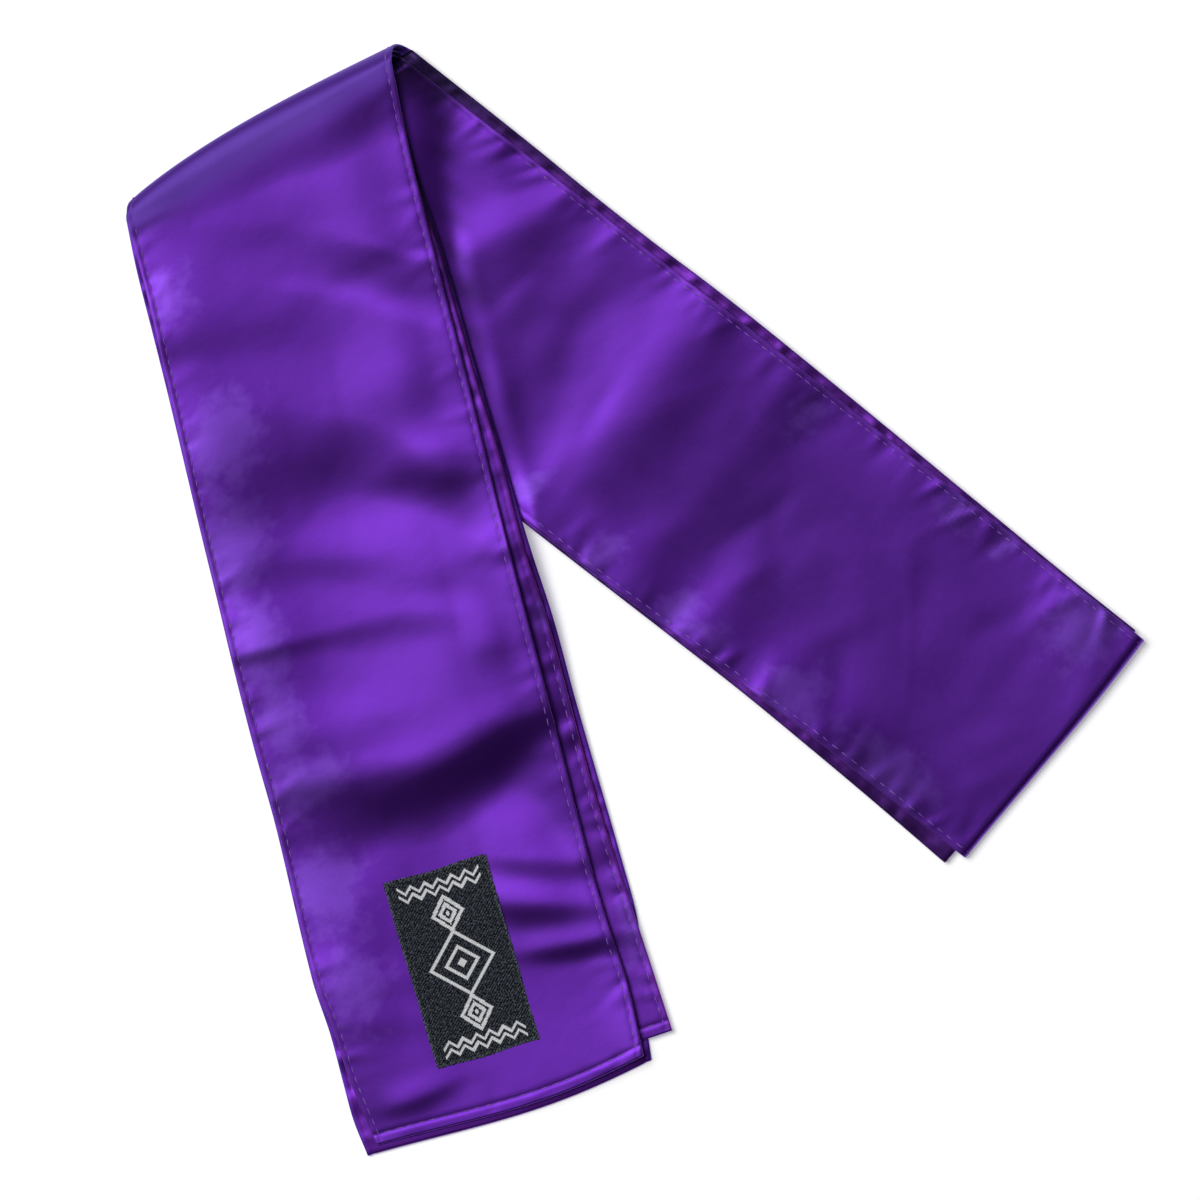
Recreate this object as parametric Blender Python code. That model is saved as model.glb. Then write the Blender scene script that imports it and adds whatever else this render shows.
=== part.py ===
"""Satin sash, a long double-ply band with a woven label near one hem.

The band lies folded in half twice, so it is a strip of four passes, and that strip is
turned back over itself at a slanted fold, like a V. The front limb of the V lies on the
back limb near the fold and comes down to the surface beyond it. Every pass is a wall of
cloth, and the passes that are hidden inside a limb share one rounded solid that is
layered at its edges.

World frame: +Z up, the sash lies on z = 0, and the origin is under the middle of the whole
sash. Sizes are millimetres until the meshes are made. A limb has its own plan coordinates:
along runs from the slanted fold to the limb's end, and across is measured square to
that, positive towards the right of the plan, where the front limb meets the back limb and
where the back limb has its upper edge.
"""
import math
from collections import namedtuple

import bmesh
import bpy

MM = 0.001

# Cloth
WALL = 1.0                     # one pass of the double satin band
GAP = 0.3                      # air between two passes
PASS = WALL + GAP
LIMB_PASSES = 4                # passes of the band in each limb
LIMB_TOP = LIMB_PASSES * PASS - GAP
EDGE_BULGE = 0.4               # how far a rounded cloth edge stands out at mid thickness
GROOVE = 1.3                   # how deep the air line between two passes cuts into a solid

# The slanted fold that makes the V
FOLD_MIDDLE = (-133.7, 172.3)  # middle of the roll's axis, from the middle of the sash
FOLD_ANGLE = 30.8              # direction of the roll's axis, degrees from +X
ROLL_CREEP = 0.6               # drift of the cloth along the roll, per length wrapped round it
ROLL_STEPS = 8
SHOULDER = 12.0                # creases start this far from a roll

# The mesh of each wall: shared by all passes of a limb, so that they nest
ROW_STEP = 8.8
INNER_COLUMNS = 11
EDGE_INSET = 4.0

# How the front limb comes down from the back limb to the surface
EDGE_OF_BACK = 56.4            # the back limb's lower edge, from its axis
DESCENT = 26.0

# Where the back limb comes out from under the front limb
COVERED_BY_FRONT = 57.0        # the front limb's right side, from its axis
UNCOVERED_FADE = 14.0

Limb = namedtuple("Limb", "heading length fold_slant end_slant")
FRONT = Limb(heading=-76.3, length=368.0, fold_slant=-17.1, end_slant=-4.9)
BACK = Limb(heading=-38.0, length=365.5, fold_slant=21.2, end_slant=1.1)

SECOND_END = 362.8             # the second pass stops short of the hem
LOWER_FRONT_END = 369.8        # axis of the half-fold that looks out past the hem
FRONT_ENDS = (SECOND_END, FRONT.length, LOWER_FRONT_END)
LOWER_STEP = 362.4             # the lower passes' edge ends here on the back limb's low side
LOWER_STEP_LEFT = -53.8
BACK_ENDS = (LOWER_STEP, BACK.length)

# Half widths of each stretch, measured across its limb's axis
Section = namedtuple("Section", "along left right")
FRONT_TOP = (
    Section(0, -59.2, 49.7), Section(30, -58.6, 48.5), Section(60, -58.8, 48.4),
    Section(120, -59.6, 49.2), Section(180, -59.7, 49.3), Section(240, -58.3, 50.2),
    Section(300, -58.4, 51.0), Section(322, -55.9, 52.2), Section(342, -54.4, 53.8),
    Section(368, -50.5, 53.2),
)
FRONT_SECOND = (
    Section(0, -57.9, 50.8), Section(60, -57.6, 50.6), Section(120, -58.2, 52.4),
    Section(150, -58.3, 54.3), Section(180, -58.2, 54.8), Section(210, -57.6, 56.9),
    Section(270, -57.0, 58.5), Section(300, -56.8, 60.5), Section(322, -54.6, 62.5),
    Section(363, -50.5, 65.7),
)
FRONT_LOWER = (
    Section(0, -59.4, 51.6), Section(20, -60.1, 51.2), Section(60, -59.8, 51.4),
    Section(120, -60.1, 53.6), Section(150, -60.1, 55.3), Section(180, -60.2, 56.8),
    Section(210, -59.8, 59.1), Section(240, -58.9, 59.9), Section(300, -59.2, 62.5),
    Section(322, -57.5, 62.9), Section(342, -57.1, 59.9), Section(356, -56.7, 57.2),
    Section(371, -54.6, 55.6),
)
BACK_TOP = (
    Section(0, -53.5, 51.9), Section(60, -53.9, 52.1), Section(120, -54.2, 51.9),
    Section(180, -54.6, 52.2), Section(210, -54.6, 52.0), Section(240, -53.8, 51.8),
    Section(270, -53.1, 51.8), Section(300, -52.4, 51.9), Section(330, -52.6, 51.6),
    Section(366, -52.9, 51.3),
)
BACK_LOWER = (
    Section(0, -54.6, 56.6), Section(60, -55.0, 56.2), Section(90, -55.1, 55.6),
    Section(120, -55.3, 55.5), Section(150, -55.5, 56.0), Section(180, -55.7, 55.9),
    Section(240, -55.4, 54.7), Section(270, -55.4, 53.9), Section(300, -56.2, 53.2),
    Section(330, -57.3, 52.5), Section(362, -58.9, 52.2),
)

# Creases: soft ridges (rise > 0) and troughs (rise < 0) from one plan point to another
Crease = namedtuple("Crease", "along_a across_a along_b across_b spread rise")
FRONT_CREASES = (
    Crease(12, -20, 7, 42, 5.5, -0.8),        # hollow behind the roll
    Crease(18, -50, 58, -44, 9.0, 1.4),       # puffed left edge below the roll
    Crease(38, 4, 64, 40, 8.0, -1.2),         # long hollow on the right
    Crease(56, -18, 88, 42, 6.5, 1.3),        # ridge that curves below it
    Crease(74, -54, 80, -30, 5.0, -0.9),
    Crease(92, -54, 112, -10, 8.0, 1.0),
    Crease(112, 18, 136, 50, 9.0, 1.9),
    Crease(120, -22, 143, 26, 7.0, -1.1),
    Crease(150, -50, 152, -14, 9.0, 0.8),
    Crease(166, 12, 186, 48, 9.0, 1.9),
    Crease(188, -56, 190, 14, 4.5, -1.2),     # sharp crease that starts at the left edge
    Crease(202, -50, 208, 20, 9.0, 1.6),
    Crease(226, -44, 232, 44, 8.5, 2.1),      # high ridge before the deep trough
    Crease(245, -44, 251, 44, 8.5, -1.9),     # deep trough across the limb
    Crease(268, -50, 270, 40, 8.0, 1.5),
    Crease(292, 30, 298, 50, 4.5, -0.9),      # short folds beside the label
    Crease(304, 34, 310, 50, 4.5, 1.0),
    Crease(322, 40, 328, 52, 5.0, -0.8),
    Crease(345, -44, 348, 36, 8.0, 0.9),
    Crease(365, -42, 361, -14, 4.5, -0.9),    # hollow above the hem
)
BACK_CREASES = (
    Crease(70, 46, 72, 12, 7.0, -0.9),
    Crease(90, 46, 87, 4, 9.5, 1.9),
    Crease(106, 48, 104, 8, 6.5, -0.9),
    Crease(120, 46, 132, 0, 7.0, 0.9),
    Crease(161, 50, 156, -8, 10.5, 2.2),      # widest ridge
    Crease(180, 48, 183, -6, 8.0, -1.2),
    Crease(198, 44, 196, -24, 8.0, 1.3),
    Crease(214, 42, 209, -22, 7.5, -1.1),
    Crease(234, 4, 232, -44, 6.0, 1.1),
    Crease(262, 40, 258, 6, 10.0, 0.9),
    Crease(270, -16, 269, -44, 6.0, 0.9),
    Crease(312, 30, 306, -30, 11.0, 0.8),
    Crease(344, 38, 345, -38, 9.0, 0.9),
)

# Woven label, sewn on the top stretch of the front limb
LABEL_WIDTH = 39.5
LABEL_HEIGHT = 71.5
LABEL_MIDDLE = (313.4, -4.0)   # along and across, on the front limb
LABEL_TURN = 2.8               # degrees from the limb's heading
LABEL_COLUMNS = 6
LABEL_ROWS = 10

# Finishes: linear base colour, roughness
SATIN = ((0.098, 0.020, 0.365, 1.0), 0.36)
SATIN_SHADED = ((0.060, 0.010, 0.240, 1.0), 0.42)
LABEL_BLACK = ((0.012, 0.014, 0.018, 1.0), 0.75)


# ---------------------------------------------------------------- plan geometry
def direction(angle):
    return math.cos(math.radians(angle)), math.sin(math.radians(angle))


def smooth(value):
    """Ease from 0 to 1 while value goes from 0 to 1."""
    value = min(max(value, 0.0), 1.0)
    return value * value * (3.0 - 2.0 * value)


def place(limb, along, across):
    """Plan point of a limb: sections turn from the fold's slant to the end's."""
    share = min(along / limb.length, 1.0)
    slant = limb.fold_slant + (limb.end_slant - limb.fold_slant) * share
    reach = along + across * math.tan(math.radians(slant))
    ahead = direction(limb.heading)
    side = direction(limb.heading + 90.0)
    return (FOLD_MIDDLE[0] + ahead[0] * reach + side[0] * across,
            FOLD_MIDDLE[1] + ahead[1] * reach + side[1] * across)


def limb_coordinates(limb, x, y):
    """Square along and across of a plan point, measured on the limb's axis."""
    ahead = direction(limb.heading)
    side = direction(limb.heading + 90.0)
    dx = x - FOLD_MIDDLE[0]
    dy = y - FOLD_MIDDLE[1]
    return dx * ahead[0] + dy * ahead[1], dx * side[0] + dy * side[1]


def edge(sections, name, along):
    """Smooth curve through one column of a table of sections."""
    stops = [section.along for section in sections]
    values = [getattr(section, name) for section in sections]
    last = len(stops) - 2
    index = max(i for i in range(last + 1) if i == 0 or stops[i] <= along)

    def slope(i):
        low = max(i - 1, 0)
        high = min(i + 1, last + 1)
        return (values[high] - values[low]) / (stops[high] - stops[low])

    span = stops[index + 1] - stops[index]
    u = min(max((along - stops[index]) / span, 0.0), 1.0)
    return ((2 * u ** 3 - 3 * u ** 2 + 1) * values[index]
            + (u ** 3 - 2 * u ** 2 + u) * span * slope(index)
            + (3 * u ** 2 - 2 * u ** 3) * values[index + 1]
            + (u ** 3 - u ** 2) * span * slope(index + 1))


# ---------------------------------------------------------------- heights
def relief(creases, along, across):
    """Height of all creases at one point: each is a bell across its line."""
    height = 0.0
    for crease in creases:
        run = (crease.along_b - crease.along_a, crease.across_b - crease.across_a)
        offset = (along - crease.along_a, across - crease.across_a)
        share = (offset[0] * run[0] + offset[1] * run[1]) / (run[0] ** 2 + run[1] ** 2)
        share = min(max(share, 0.0), 1.0)
        distance = math.hypot(offset[0] - share * run[0], offset[1] - share * run[1])
        height += crease.rise * math.exp(-(distance / crease.spread) ** 2)
    return height


def lift(x, y):
    """How high the front limb's underside lies: on the back limb, then on the surface."""
    beyond = -limb_coordinates(BACK, x, y)[1] - EDGE_OF_BACK
    return LIMB_PASSES * PASS * (1.0 - smooth(beyond / DESCENT))


def from_roll(x, y):
    """Distance of a plan point from the slanted fold's axis."""
    normal = direction(FOLD_ANGLE - 90.0)
    return (x - FOLD_MIDDLE[0]) * normal[0] + (y - FOLD_MIDDLE[1]) * normal[1]


def front_top(x, y):
    shoulder = smooth(from_roll(x, y) / SHOULDER)
    return LIMB_TOP + lift(x, y) + shoulder * relief(FRONT_CREASES, *limb_coordinates(FRONT, x, y))


def back_top(x, y):
    along, across = limb_coordinates(BACK, x, y)
    uncovered = limb_coordinates(FRONT, x, y)[1] - COVERED_BY_FRONT
    shown = smooth(uncovered / UNCOVERED_FADE) * smooth((BACK.length - along) / SHOULDER)
    return LIMB_TOP + shown * relief(BACK_CREASES, along, across)


# ---------------------------------------------------------------- rings and bodies
def rows(last, ends):
    """Stations up to the last, shared by every pass of a limb: even ones, then all ends."""
    even = int((min(ends) - ROW_STEP / 2) / ROW_STEP) + 1
    stations = [i * ROW_STEP for i in range(even)] + sorted(ends)
    return [along for along in stations if along <= last]


def columns(top_sections, own_sections, along, wider_left, wider_right):
    """Offsets across, shared inside the top stretch, with the pass's own edges."""
    left = edge(top_sections, "left", along)
    right = edge(top_sections, "right", along)
    inner_left = left + EDGE_INSET
    step = (right - left - 2 * EDGE_INSET) / (INNER_COLUMNS - 1)
    middle = [inner_left + i * step for i in range(INNER_COLUMNS)]
    if wider_left:
        middle.insert(0, left)
    if wider_right:
        middle.append(right)
    own_left = edge(own_sections, "left", along)
    own_right = edge(own_sections, "right", along)
    return [own_left] + middle + [own_right]


def side_points(corner_top, corner_bottom, outward, passes):
    """Points down one side: each pass rounds outwards, with a groove between passes."""
    points = []
    height = corner_top[2] - corner_bottom[2]
    for i in range(2 * passes - 1):
        out = EDGE_BULGE if i % 2 == 0 else -GROOVE
        drop = height * (i + 1) / (2 * passes)
        points.append((corner_top[0] + outward[0] * out, corner_top[1] + outward[1] * out,
                       corner_top[2] - drop))
    return points


def ring(plan, tops, bottoms, passes=1):
    """Closed ring of one section: top left to right, right side, bottom, left side."""
    top = [(x, y, z) for (x, y), z in zip(plan, tops)]
    bottom = [(x, y, z) for (x, y), z in zip(plan, bottoms)]
    length = math.dist(plan[0], plan[-1])
    outward = ((plan[-1][0] - plan[0][0]) / length, (plan[-1][1] - plan[0][1]) / length)
    inward = (-outward[0], -outward[1])
    right = side_points(top[-1], bottom[-1], outward, passes)
    left = side_points(top[0], bottom[0], inward, passes)
    return top + right + bottom[::-1] + left[::-1]


def loft(name, rings, top_count, finish):
    """Closed body through the rings, split along the same diagonal on both faces."""
    size = len(rings[0])
    points = [(x * MM, y * MM, z * MM) for one in rings for x, y, z in one]
    faces = [tuple(range(size)), tuple(range(len(points) - 1, len(points) - 1 - size, -1))]
    for i in range(len(rings) - 1):
        for k in range(size):
            a = i * size + k
            b = i * size + (k + 1) % size
            c, d = b + size, a + size
            if k < top_count - 1:
                faces += [(a, b, c), (a, c, d)]
            else:
                faces += [(a, b, d), (b, c, d)]
    mesh = bpy.data.meshes.new(name)
    mesh.from_pydata(points, [], faces)
    shell = bmesh.new()
    shell.from_mesh(mesh)
    bmesh.ops.recalc_face_normals(shell, faces=shell.faces)
    shell.to_mesh(mesh)
    shell.free()
    mesh.shade_smooth()
    mesh.set_sharp_from_angle(angle=math.radians(50.0))
    mesh.materials.append(material(name, *finish))
    bpy.context.collection.objects.link(bpy.data.objects.new(name, mesh))


def material(name, colour, roughness):
    satin = bpy.data.materials.new(name)
    satin.use_nodes = True
    shader = satin.node_tree.nodes["Principled BSDF"]
    shader.inputs["Base Color"].default_value = colour
    shader.inputs["Roughness"].default_value = roughness
    return satin


# ---------------------------------------------------------------- stretches
def slanted_roll(offsets, outer, inner, middle):
    """Rings of a wall that turns round the slanted fold, from the lower end to the top."""
    rings = []
    out = direction(FOLD_ANGLE + 90.0)
    fold = direction(FOLD_ANGLE)
    for step in range(ROLL_STEPS):
        turn = math.pi * (1.0 - step / ROLL_STEPS)
        creep = ROLL_CREEP * turn * 0.5 * (outer + inner)
        swing = math.sin(turn)
        rise = math.cos(turn)
        start = [place(FRONT, 0.0, across) for across in offsets]
        start = [(x + fold[0] * creep, y + fold[1] * creep) for x, y in start]
        shell = []
        for radius in (outer, inner):
            shell.append([(x + out[0] * radius * swing, y + out[1] * radius * swing,
                           middle + radius * rise) for x, y in start])
        rings.append(wall_ring(shell[0], shell[1], fold))
    return rings


def wall_ring(outer, inner, fold):
    """Ring of a rolled wall, with the same rounded edges as its flat stretch."""
    def rim(a, b, side):
        return ((a[0] + b[0]) / 2 + fold[0] * EDGE_BULGE * side,
                (a[1] + b[1]) / 2 + fold[1] * EDGE_BULGE * side, (a[2] + b[2]) / 2)
    return outer + [rim(outer[-1], inner[-1], 1)] + inner[::-1] + [rim(outer[0], inner[0], -1)]


def front_wall(name, sections, order, end, wider_right):
    """A pass of the front limb, number order from the top, with its roll at the fold."""
    drop = order * PASS
    middle = LIMB_PASSES * PASS - GAP / 2
    outer = middle - drop
    start = columns(FRONT_TOP, sections, 0.0, False, wider_right)
    rings = slanted_roll(start, outer, outer - WALL, middle)
    for along in rows(end, FRONT_ENDS):
        plan = [place(FRONT, along, across)
                for across in columns(FRONT_TOP, sections, along, False, wider_right)]
        tops = [front_top(x, y) - drop for x, y in plan]
        rings.append(ring(plan, tops, [z - WALL for z in tops]))
    loft(name, rings, len(plan), SATIN)


def bull_nose(radius):
    """Reach and half height of a rounded end, from its tip to its full height."""
    return [(radius * math.cos(math.radians(a)), radius * math.sin(math.radians(a)))
            for a in (14.0, 35.0, 62.0)]


def front_lower_fold():
    """Third and fourth pass as one solid, nested in the roll and folded past the hem."""
    drop = 2 * PASS
    middle = LIMB_PASSES * PASS - GAP / 2
    radius = middle - drop
    out = direction(FOLD_ANGLE + 90.0)
    start = [place(FRONT, 0.0, across)
             for across in columns(FRONT_TOP, FRONT_LOWER, 0.0, True, True)]
    rings = []
    for reach, half in bull_nose(radius) + [(GAP / 2, radius)]:
        plan = [(x + out[0] * reach, y + out[1] * reach) for x, y in start]
        rings.append(ring(plan, [middle + half] * len(plan), [middle - half] * len(plan), 2))
    stations = rows(LOWER_FRONT_END, FRONT_ENDS)
    stations[0] = GAP / 2
    for along in stations:
        plan = [place(FRONT, along, across)
                for across in columns(FRONT_TOP, FRONT_LOWER, along, True, True)]
        tops = [front_top(x, y) - drop for x, y in plan]
        bottoms = [lift(x, y) for x, y in plan]
        rings.append(ring(plan, tops, bottoms, 2))
    radius = (tops[0] - bottoms[0]) / 2
    ahead = direction(FRONT.heading)
    for reach, half in bull_nose(radius)[::-1]:
        share = half / radius
        spread = [(x + ahead[0] * reach, y + ahead[1] * reach) for x, y in plan]
        high = [(t + b) / 2 + (t - b) / 2 * share for t, b in zip(tops, bottoms)]
        low = [(t + b) / 2 - (t - b) / 2 * share for t, b in zip(tops, bottoms)]
        rings.append(ring(spread, high, low, 2))
    loft("front_lower_fold", rings, len(plan), SATIN_SHADED)


def back_top_stretch():
    """Top pass of the back limb, turned under at the far end."""
    rings = []
    stations = rows(BACK.length, BACK_ENDS)
    stations[0] = GAP
    for along in stations:
        plan = [place(BACK, along, across)
                for across in columns(BACK_TOP, BACK_TOP, along, False, False)]
        tops = [back_top(x, y) for x, y in plan]
        rings.append(ring(plan, tops, [z - WALL for z in tops]))
    middle = LIMB_TOP / 2
    ahead = direction(BACK.heading)
    side = direction(BACK.heading + 90.0)
    for step in range(1, ROLL_STEPS + 1):
        turn = math.pi * step / ROLL_STEPS
        shell = []
        for radius in (middle, middle - WALL):
            shell.append([(x + ahead[0] * radius * math.sin(turn),
                           y + ahead[1] * radius * math.sin(turn),
                           middle + radius * math.cos(turn)) for x, y in plan])
        rings.append(wall_ring(shell[0], shell[1], side))
    loft("back_top_stretch", rings, len(plan), SATIN)


def back_lower_fold():
    """Three lower passes of the back limb as one solid, nested in the end fold."""
    def outline(along, left=None):
        offsets = columns(BACK_TOP, BACK_LOWER, along, True, True)
        if left is not None:
            offsets[0] = left
        return [place(BACK, along, across) for across in offsets]

    rings = []
    stations = rows(LOWER_STEP, BACK_ENDS)
    stations[0] = GAP
    for along in stations:
        plan = outline(along)
        tops = [back_top(x, y) - PASS for x, y in plan]
        rings.append(ring(plan, tops, [0.0] * len(plan), 3))
    for along, low in ((LOWER_STEP + GAP, 0.0), (BACK.length - 2 * GAP, 0.0),
                       (BACK.length - GAP, PASS)):
        plan = outline(along, LOWER_STEP_LEFT)
        rings.append(ring(plan, [LIMB_TOP - PASS] * len(plan), [low] * len(plan), 3))
    middle = LIMB_TOP / 2
    radius = middle - PASS
    ahead = direction(BACK.heading)
    for reach, half in bull_nose(radius)[::-1]:
        spread = [(x + ahead[0] * reach, y + ahead[1] * reach) for x, y in plan]
        rings.append(ring(spread, [middle + half] * len(plan), [middle - half] * len(plan), 3))
    loft("back_lower_fold", rings, len(plan), SATIN_SHADED)


def woven_label():
    """Thin patch that follows the top stretch, a gap above it."""
    middle = place(FRONT, *LABEL_MIDDLE)
    down = direction(FRONT.heading + LABEL_TURN)
    side = direction(FRONT.heading + LABEL_TURN + 90.0)
    rings = []
    for i in range(LABEL_ROWS + 1):
        low = LABEL_HEIGHT * (i / LABEL_ROWS - 0.5)
        plan = []
        for j in range(LABEL_COLUMNS + 1):
            right = LABEL_WIDTH * (j / LABEL_COLUMNS - 0.5)
            plan.append((middle[0] + down[0] * low + side[0] * right,
                         middle[1] + down[1] * low + side[1] * right))
        bottoms = [front_top(x, y) + GAP for x, y in plan]
        rings.append(ring(plan, [z + WALL for z in bottoms], bottoms))
    loft("woven_label", rings, len(plan), LABEL_BLACK)


def clear_scene():
    for thing in list(bpy.data.objects):
        bpy.data.objects.remove(thing, do_unlink=True)


def main():
    clear_scene()
    front_wall("front_top_stretch", FRONT_TOP, 0, FRONT.length, wider_right=False)
    front_wall("front_second_stretch", FRONT_SECOND, 1, SECOND_END, wider_right=True)
    front_lower_fold()
    back_top_stretch()
    back_lower_fold()
    woven_label()


main()
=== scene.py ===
"""Looks of the folded satin sash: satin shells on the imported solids, sewing and label.

Lengths are millimetres in the tables and functions, and metres once they are in a mesh.
A limb of the V has its own plan coordinates: along runs from the slanted fold to the
limb's end, and across is square to that, positive towards the right of the plan.
Every pass of the band is one closed thin shell round a middle surface of rows (along) and
columns (across), and passes that are folded into each other share one surface.
"""
import math
from collections import namedtuple

import bmesh
import bpy
import numpy as np
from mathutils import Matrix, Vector


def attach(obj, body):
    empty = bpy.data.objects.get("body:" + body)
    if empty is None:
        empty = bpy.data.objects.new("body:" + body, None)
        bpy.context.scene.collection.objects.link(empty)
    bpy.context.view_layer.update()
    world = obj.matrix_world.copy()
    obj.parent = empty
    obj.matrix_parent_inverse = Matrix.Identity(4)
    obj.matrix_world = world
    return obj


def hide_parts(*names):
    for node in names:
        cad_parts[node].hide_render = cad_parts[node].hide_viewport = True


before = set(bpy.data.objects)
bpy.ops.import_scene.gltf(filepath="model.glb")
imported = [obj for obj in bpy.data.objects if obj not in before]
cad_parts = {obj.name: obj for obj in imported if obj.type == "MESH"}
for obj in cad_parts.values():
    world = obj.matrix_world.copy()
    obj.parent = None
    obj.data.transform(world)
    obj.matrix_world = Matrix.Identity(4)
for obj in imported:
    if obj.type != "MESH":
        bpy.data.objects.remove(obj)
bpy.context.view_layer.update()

MM = 0.001


def table(kind, *rows):
    """Rows of numbers whose columns have names."""
    return [kind(*row) for row in rows]


# The band and its passes, as the solids have them
WALL = 1.0
GAP = 0.3
PASS = WALL + GAP
LIMB_PASSES = 4
LIMB_TOP = LIMB_PASSES * PASS - GAP
ROLL_AXIS = LIMB_PASSES * PASS - GAP / 2
FOLD_MIDDLE = np.array([-133.7, 172.3])
FOLD_ANGLE = 30.8
ROLL_CREEP = 0.6

Limb = namedtuple("Limb", "heading length fold_slant end_slant")
FRONT = Limb(heading=-76.3, length=368.0, fold_slant=-17.1, end_slant=-4.9)
BACK = Limb(heading=-38.0, length=365.5, fold_slant=21.2, end_slant=1.1)
SECOND_END = 362.8
LOWER_FRONT_END = 369.8
LOWER_BACK_END = 362.4

# How the passes lie on each other
CLOTH = 0.9                    # two plies of satin and the air between them
PRESSED = (0.0, 0.6, 0.3, 0.0)  # how far each pass, from the top, is pressed down
PRESSED_FROM_ROLL = 40.0       # and how far from the slanted fold it is so in full
GIVE = (1.0, 0.55, 0.28, 0.0)  # share of the top pass's folds that each pass follows
DEEPEST = 0.8                  # no hollow sinks further into the passes below
EDGE_OF_BACK = 56.4            # the front limb comes down past the back limb's lower edge
DESCENT = 44.0
COVERED_BY_FRONT = 54.0        # the back limb's folds begin past the front limb's right edge
UNCOVERED_FADE = 8.0

# Where both limbs are full and rise together
APEX_SWELL = 3.5               # towards the front limb's right edge, near the apex
APEX_SWELL_EDGE = 48.5
APEX_SWELL_INWARDS = 40.0
APEX_SWELL_OUTWARDS = 5.5      # it fades out over this far past that edge
APEX_SWELL_WIDER = 6.0         # and over this much more next to the slanted fold
APEX_SWELL_WIDER_FADE = 22.0
APEX_SWELL_START = 94.0
APEX_SWELL_FADE = 84.0
BACK_SWELL_START = 4.0         # the back limb is swollen in full this far from the slanted fold
CROSSING_SWELL = 1.6           # where the front limb's right edge crosses the back limb
CROSSING_START = 36.0
CROSSING_END = 240.0
CROSSING_FADE_IN = 64.0
CROSSING_FADE_OUT = 110.0
CROSSING_EDGE = 50.0
CROSSING_OUTWARDS = 10.5

# How the edges droop or curl up
EdgeBend = namedtuple("EdgeBend", "left right hem")
FRONT_BEND = EdgeBend(left=-0.95, right=0.9, hem=1.3)
SECOND_BEND = EdgeBend(left=-0.2, right=0.35, hem=0.0)
BACK_BEND = EdgeBend(left=-0.1, right=0.0, hem=0.0)
NOSE_BEND = EdgeBend(left=0.0, right=0.0, hem=-0.5)
STRAIGHT = EdgeBend(left=0.0, right=0.0, hem=0.0)
BEND_WIDTH = 8.0
HEM_BEND_WIDTH = 24.0

# The slanted fold, and how the ends bow outwards
ROLL_FULLNESS = 3.9            # the slanted fold swells outwards in its middle
ROLL_SKEW = 0.75               # most towards the left
ROLL_STRAIGHT = 1.5            # and is full once the roll has turned by 90 degrees / this
ROLL_ROUGH_SHEEN_REACH = 6.5                # its satin is rougher and takes a greyer painted sheen, which both fade over this far past it
RollLift = namedtuple("RollLift", "across rise length")
ROLL_LIFT = table(RollLift, (-60, 0.2, 14), (-25, 0.4, 14), (0, 1.0, 17), (20, 1.6, 22),
                  (50, 2.0, 24))   # it stands higher at the right
ROLL_LIFT_START = 1.0          # the top pass starts to fall away from it here
HEM_FULLNESS = 3.7             # the front limb's end bows outwards, and the back limb's less
BACK_FULLNESS = 1.0
BOW_LENGTH = 70.0
BOW_SKEW = 1.35                # a bow is fullest towards the right

# Offsets of each pass's two edges
Section = namedtuple("Section", "along left right")
FRONT_TOP = table(
    Section, (0, -59.2, 49.7), (30, -58.6, 48.5), (60, -58.8, 48.4), (120, -59.6, 49.2),
    (180, -59.7, 49.3), (240, -58.3, 50.2), (300, -58.4, 51.0), (322, -55.9, 52.2),
    (342, -54.4, 53.8), (368, -50.5, 53.2),
)
FRONT_SECOND = table(
    Section, (0, -57.9, 48.9), (40, -57.7, 48.3), (70, -57.7, 50.2), (120, -58.2, 52.4),
    (150, -58.3, 54.3), (180, -58.2, 54.8), (210, -57.6, 56.9), (270, -57.0, 58.5),
    (300, -56.8, 60.5), (322, -54.6, 62.5), (363, -50.5, 65.7),
)
FRONT_LOWER = table(
    Section, (0, -59.4, 49.2), (20, -60.1, 49.0), (45, -59.9, 49.6), (72, -59.8, 51.6),
    (120, -60.1, 53.6), (150, -60.1, 55.3), (180, -60.2, 56.8), (210, -59.8, 59.1),
    (240, -58.9, 59.9), (300, -59.2, 62.5), (322, -57.5, 62.9), (342, -57.1, 59.9),
    (356, -56.7, 57.2), (371, -54.6, 55.6),
)
BACK_TOP = table(
    Section, (0, -53.5, 51.9), (60, -53.9, 52.1), (120, -54.2, 51.9), (180, -54.6, 52.2),
    (210, -54.6, 52.0), (240, -53.8, 51.8), (270, -53.1, 51.8), (300, -52.4, 51.9),
    (330, -52.6, 51.6), (366, -52.9, 51.3),
)
BACK_LOWER = table(
    Section, (0, -54.6, 56.6), (60, -55.0, 56.2), (90, -55.1, 55.6), (120, -55.3, 55.5),
    (150, -55.5, 56.0), (180, -55.7, 55.9), (240, -55.4, 54.7), (270, -55.4, 53.9),
    (300, -56.2, 53.2), (330, -57.3, 52.5), (362, -58.9, 52.2),
)

# Folds of the cloth. A fold is a crest line from the band's left side to its right. At each
# of its points the crest has a rise, and the cloth climbs and falls over `before` and `after`.
Crest = namedtuple("Crest", "along across rise before after")
FOLD_END = 9.0                 # how softly a fold ends sideways


def crest_lines(*folds):
    return [table(Crest, *fold) for fold in folds]


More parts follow.
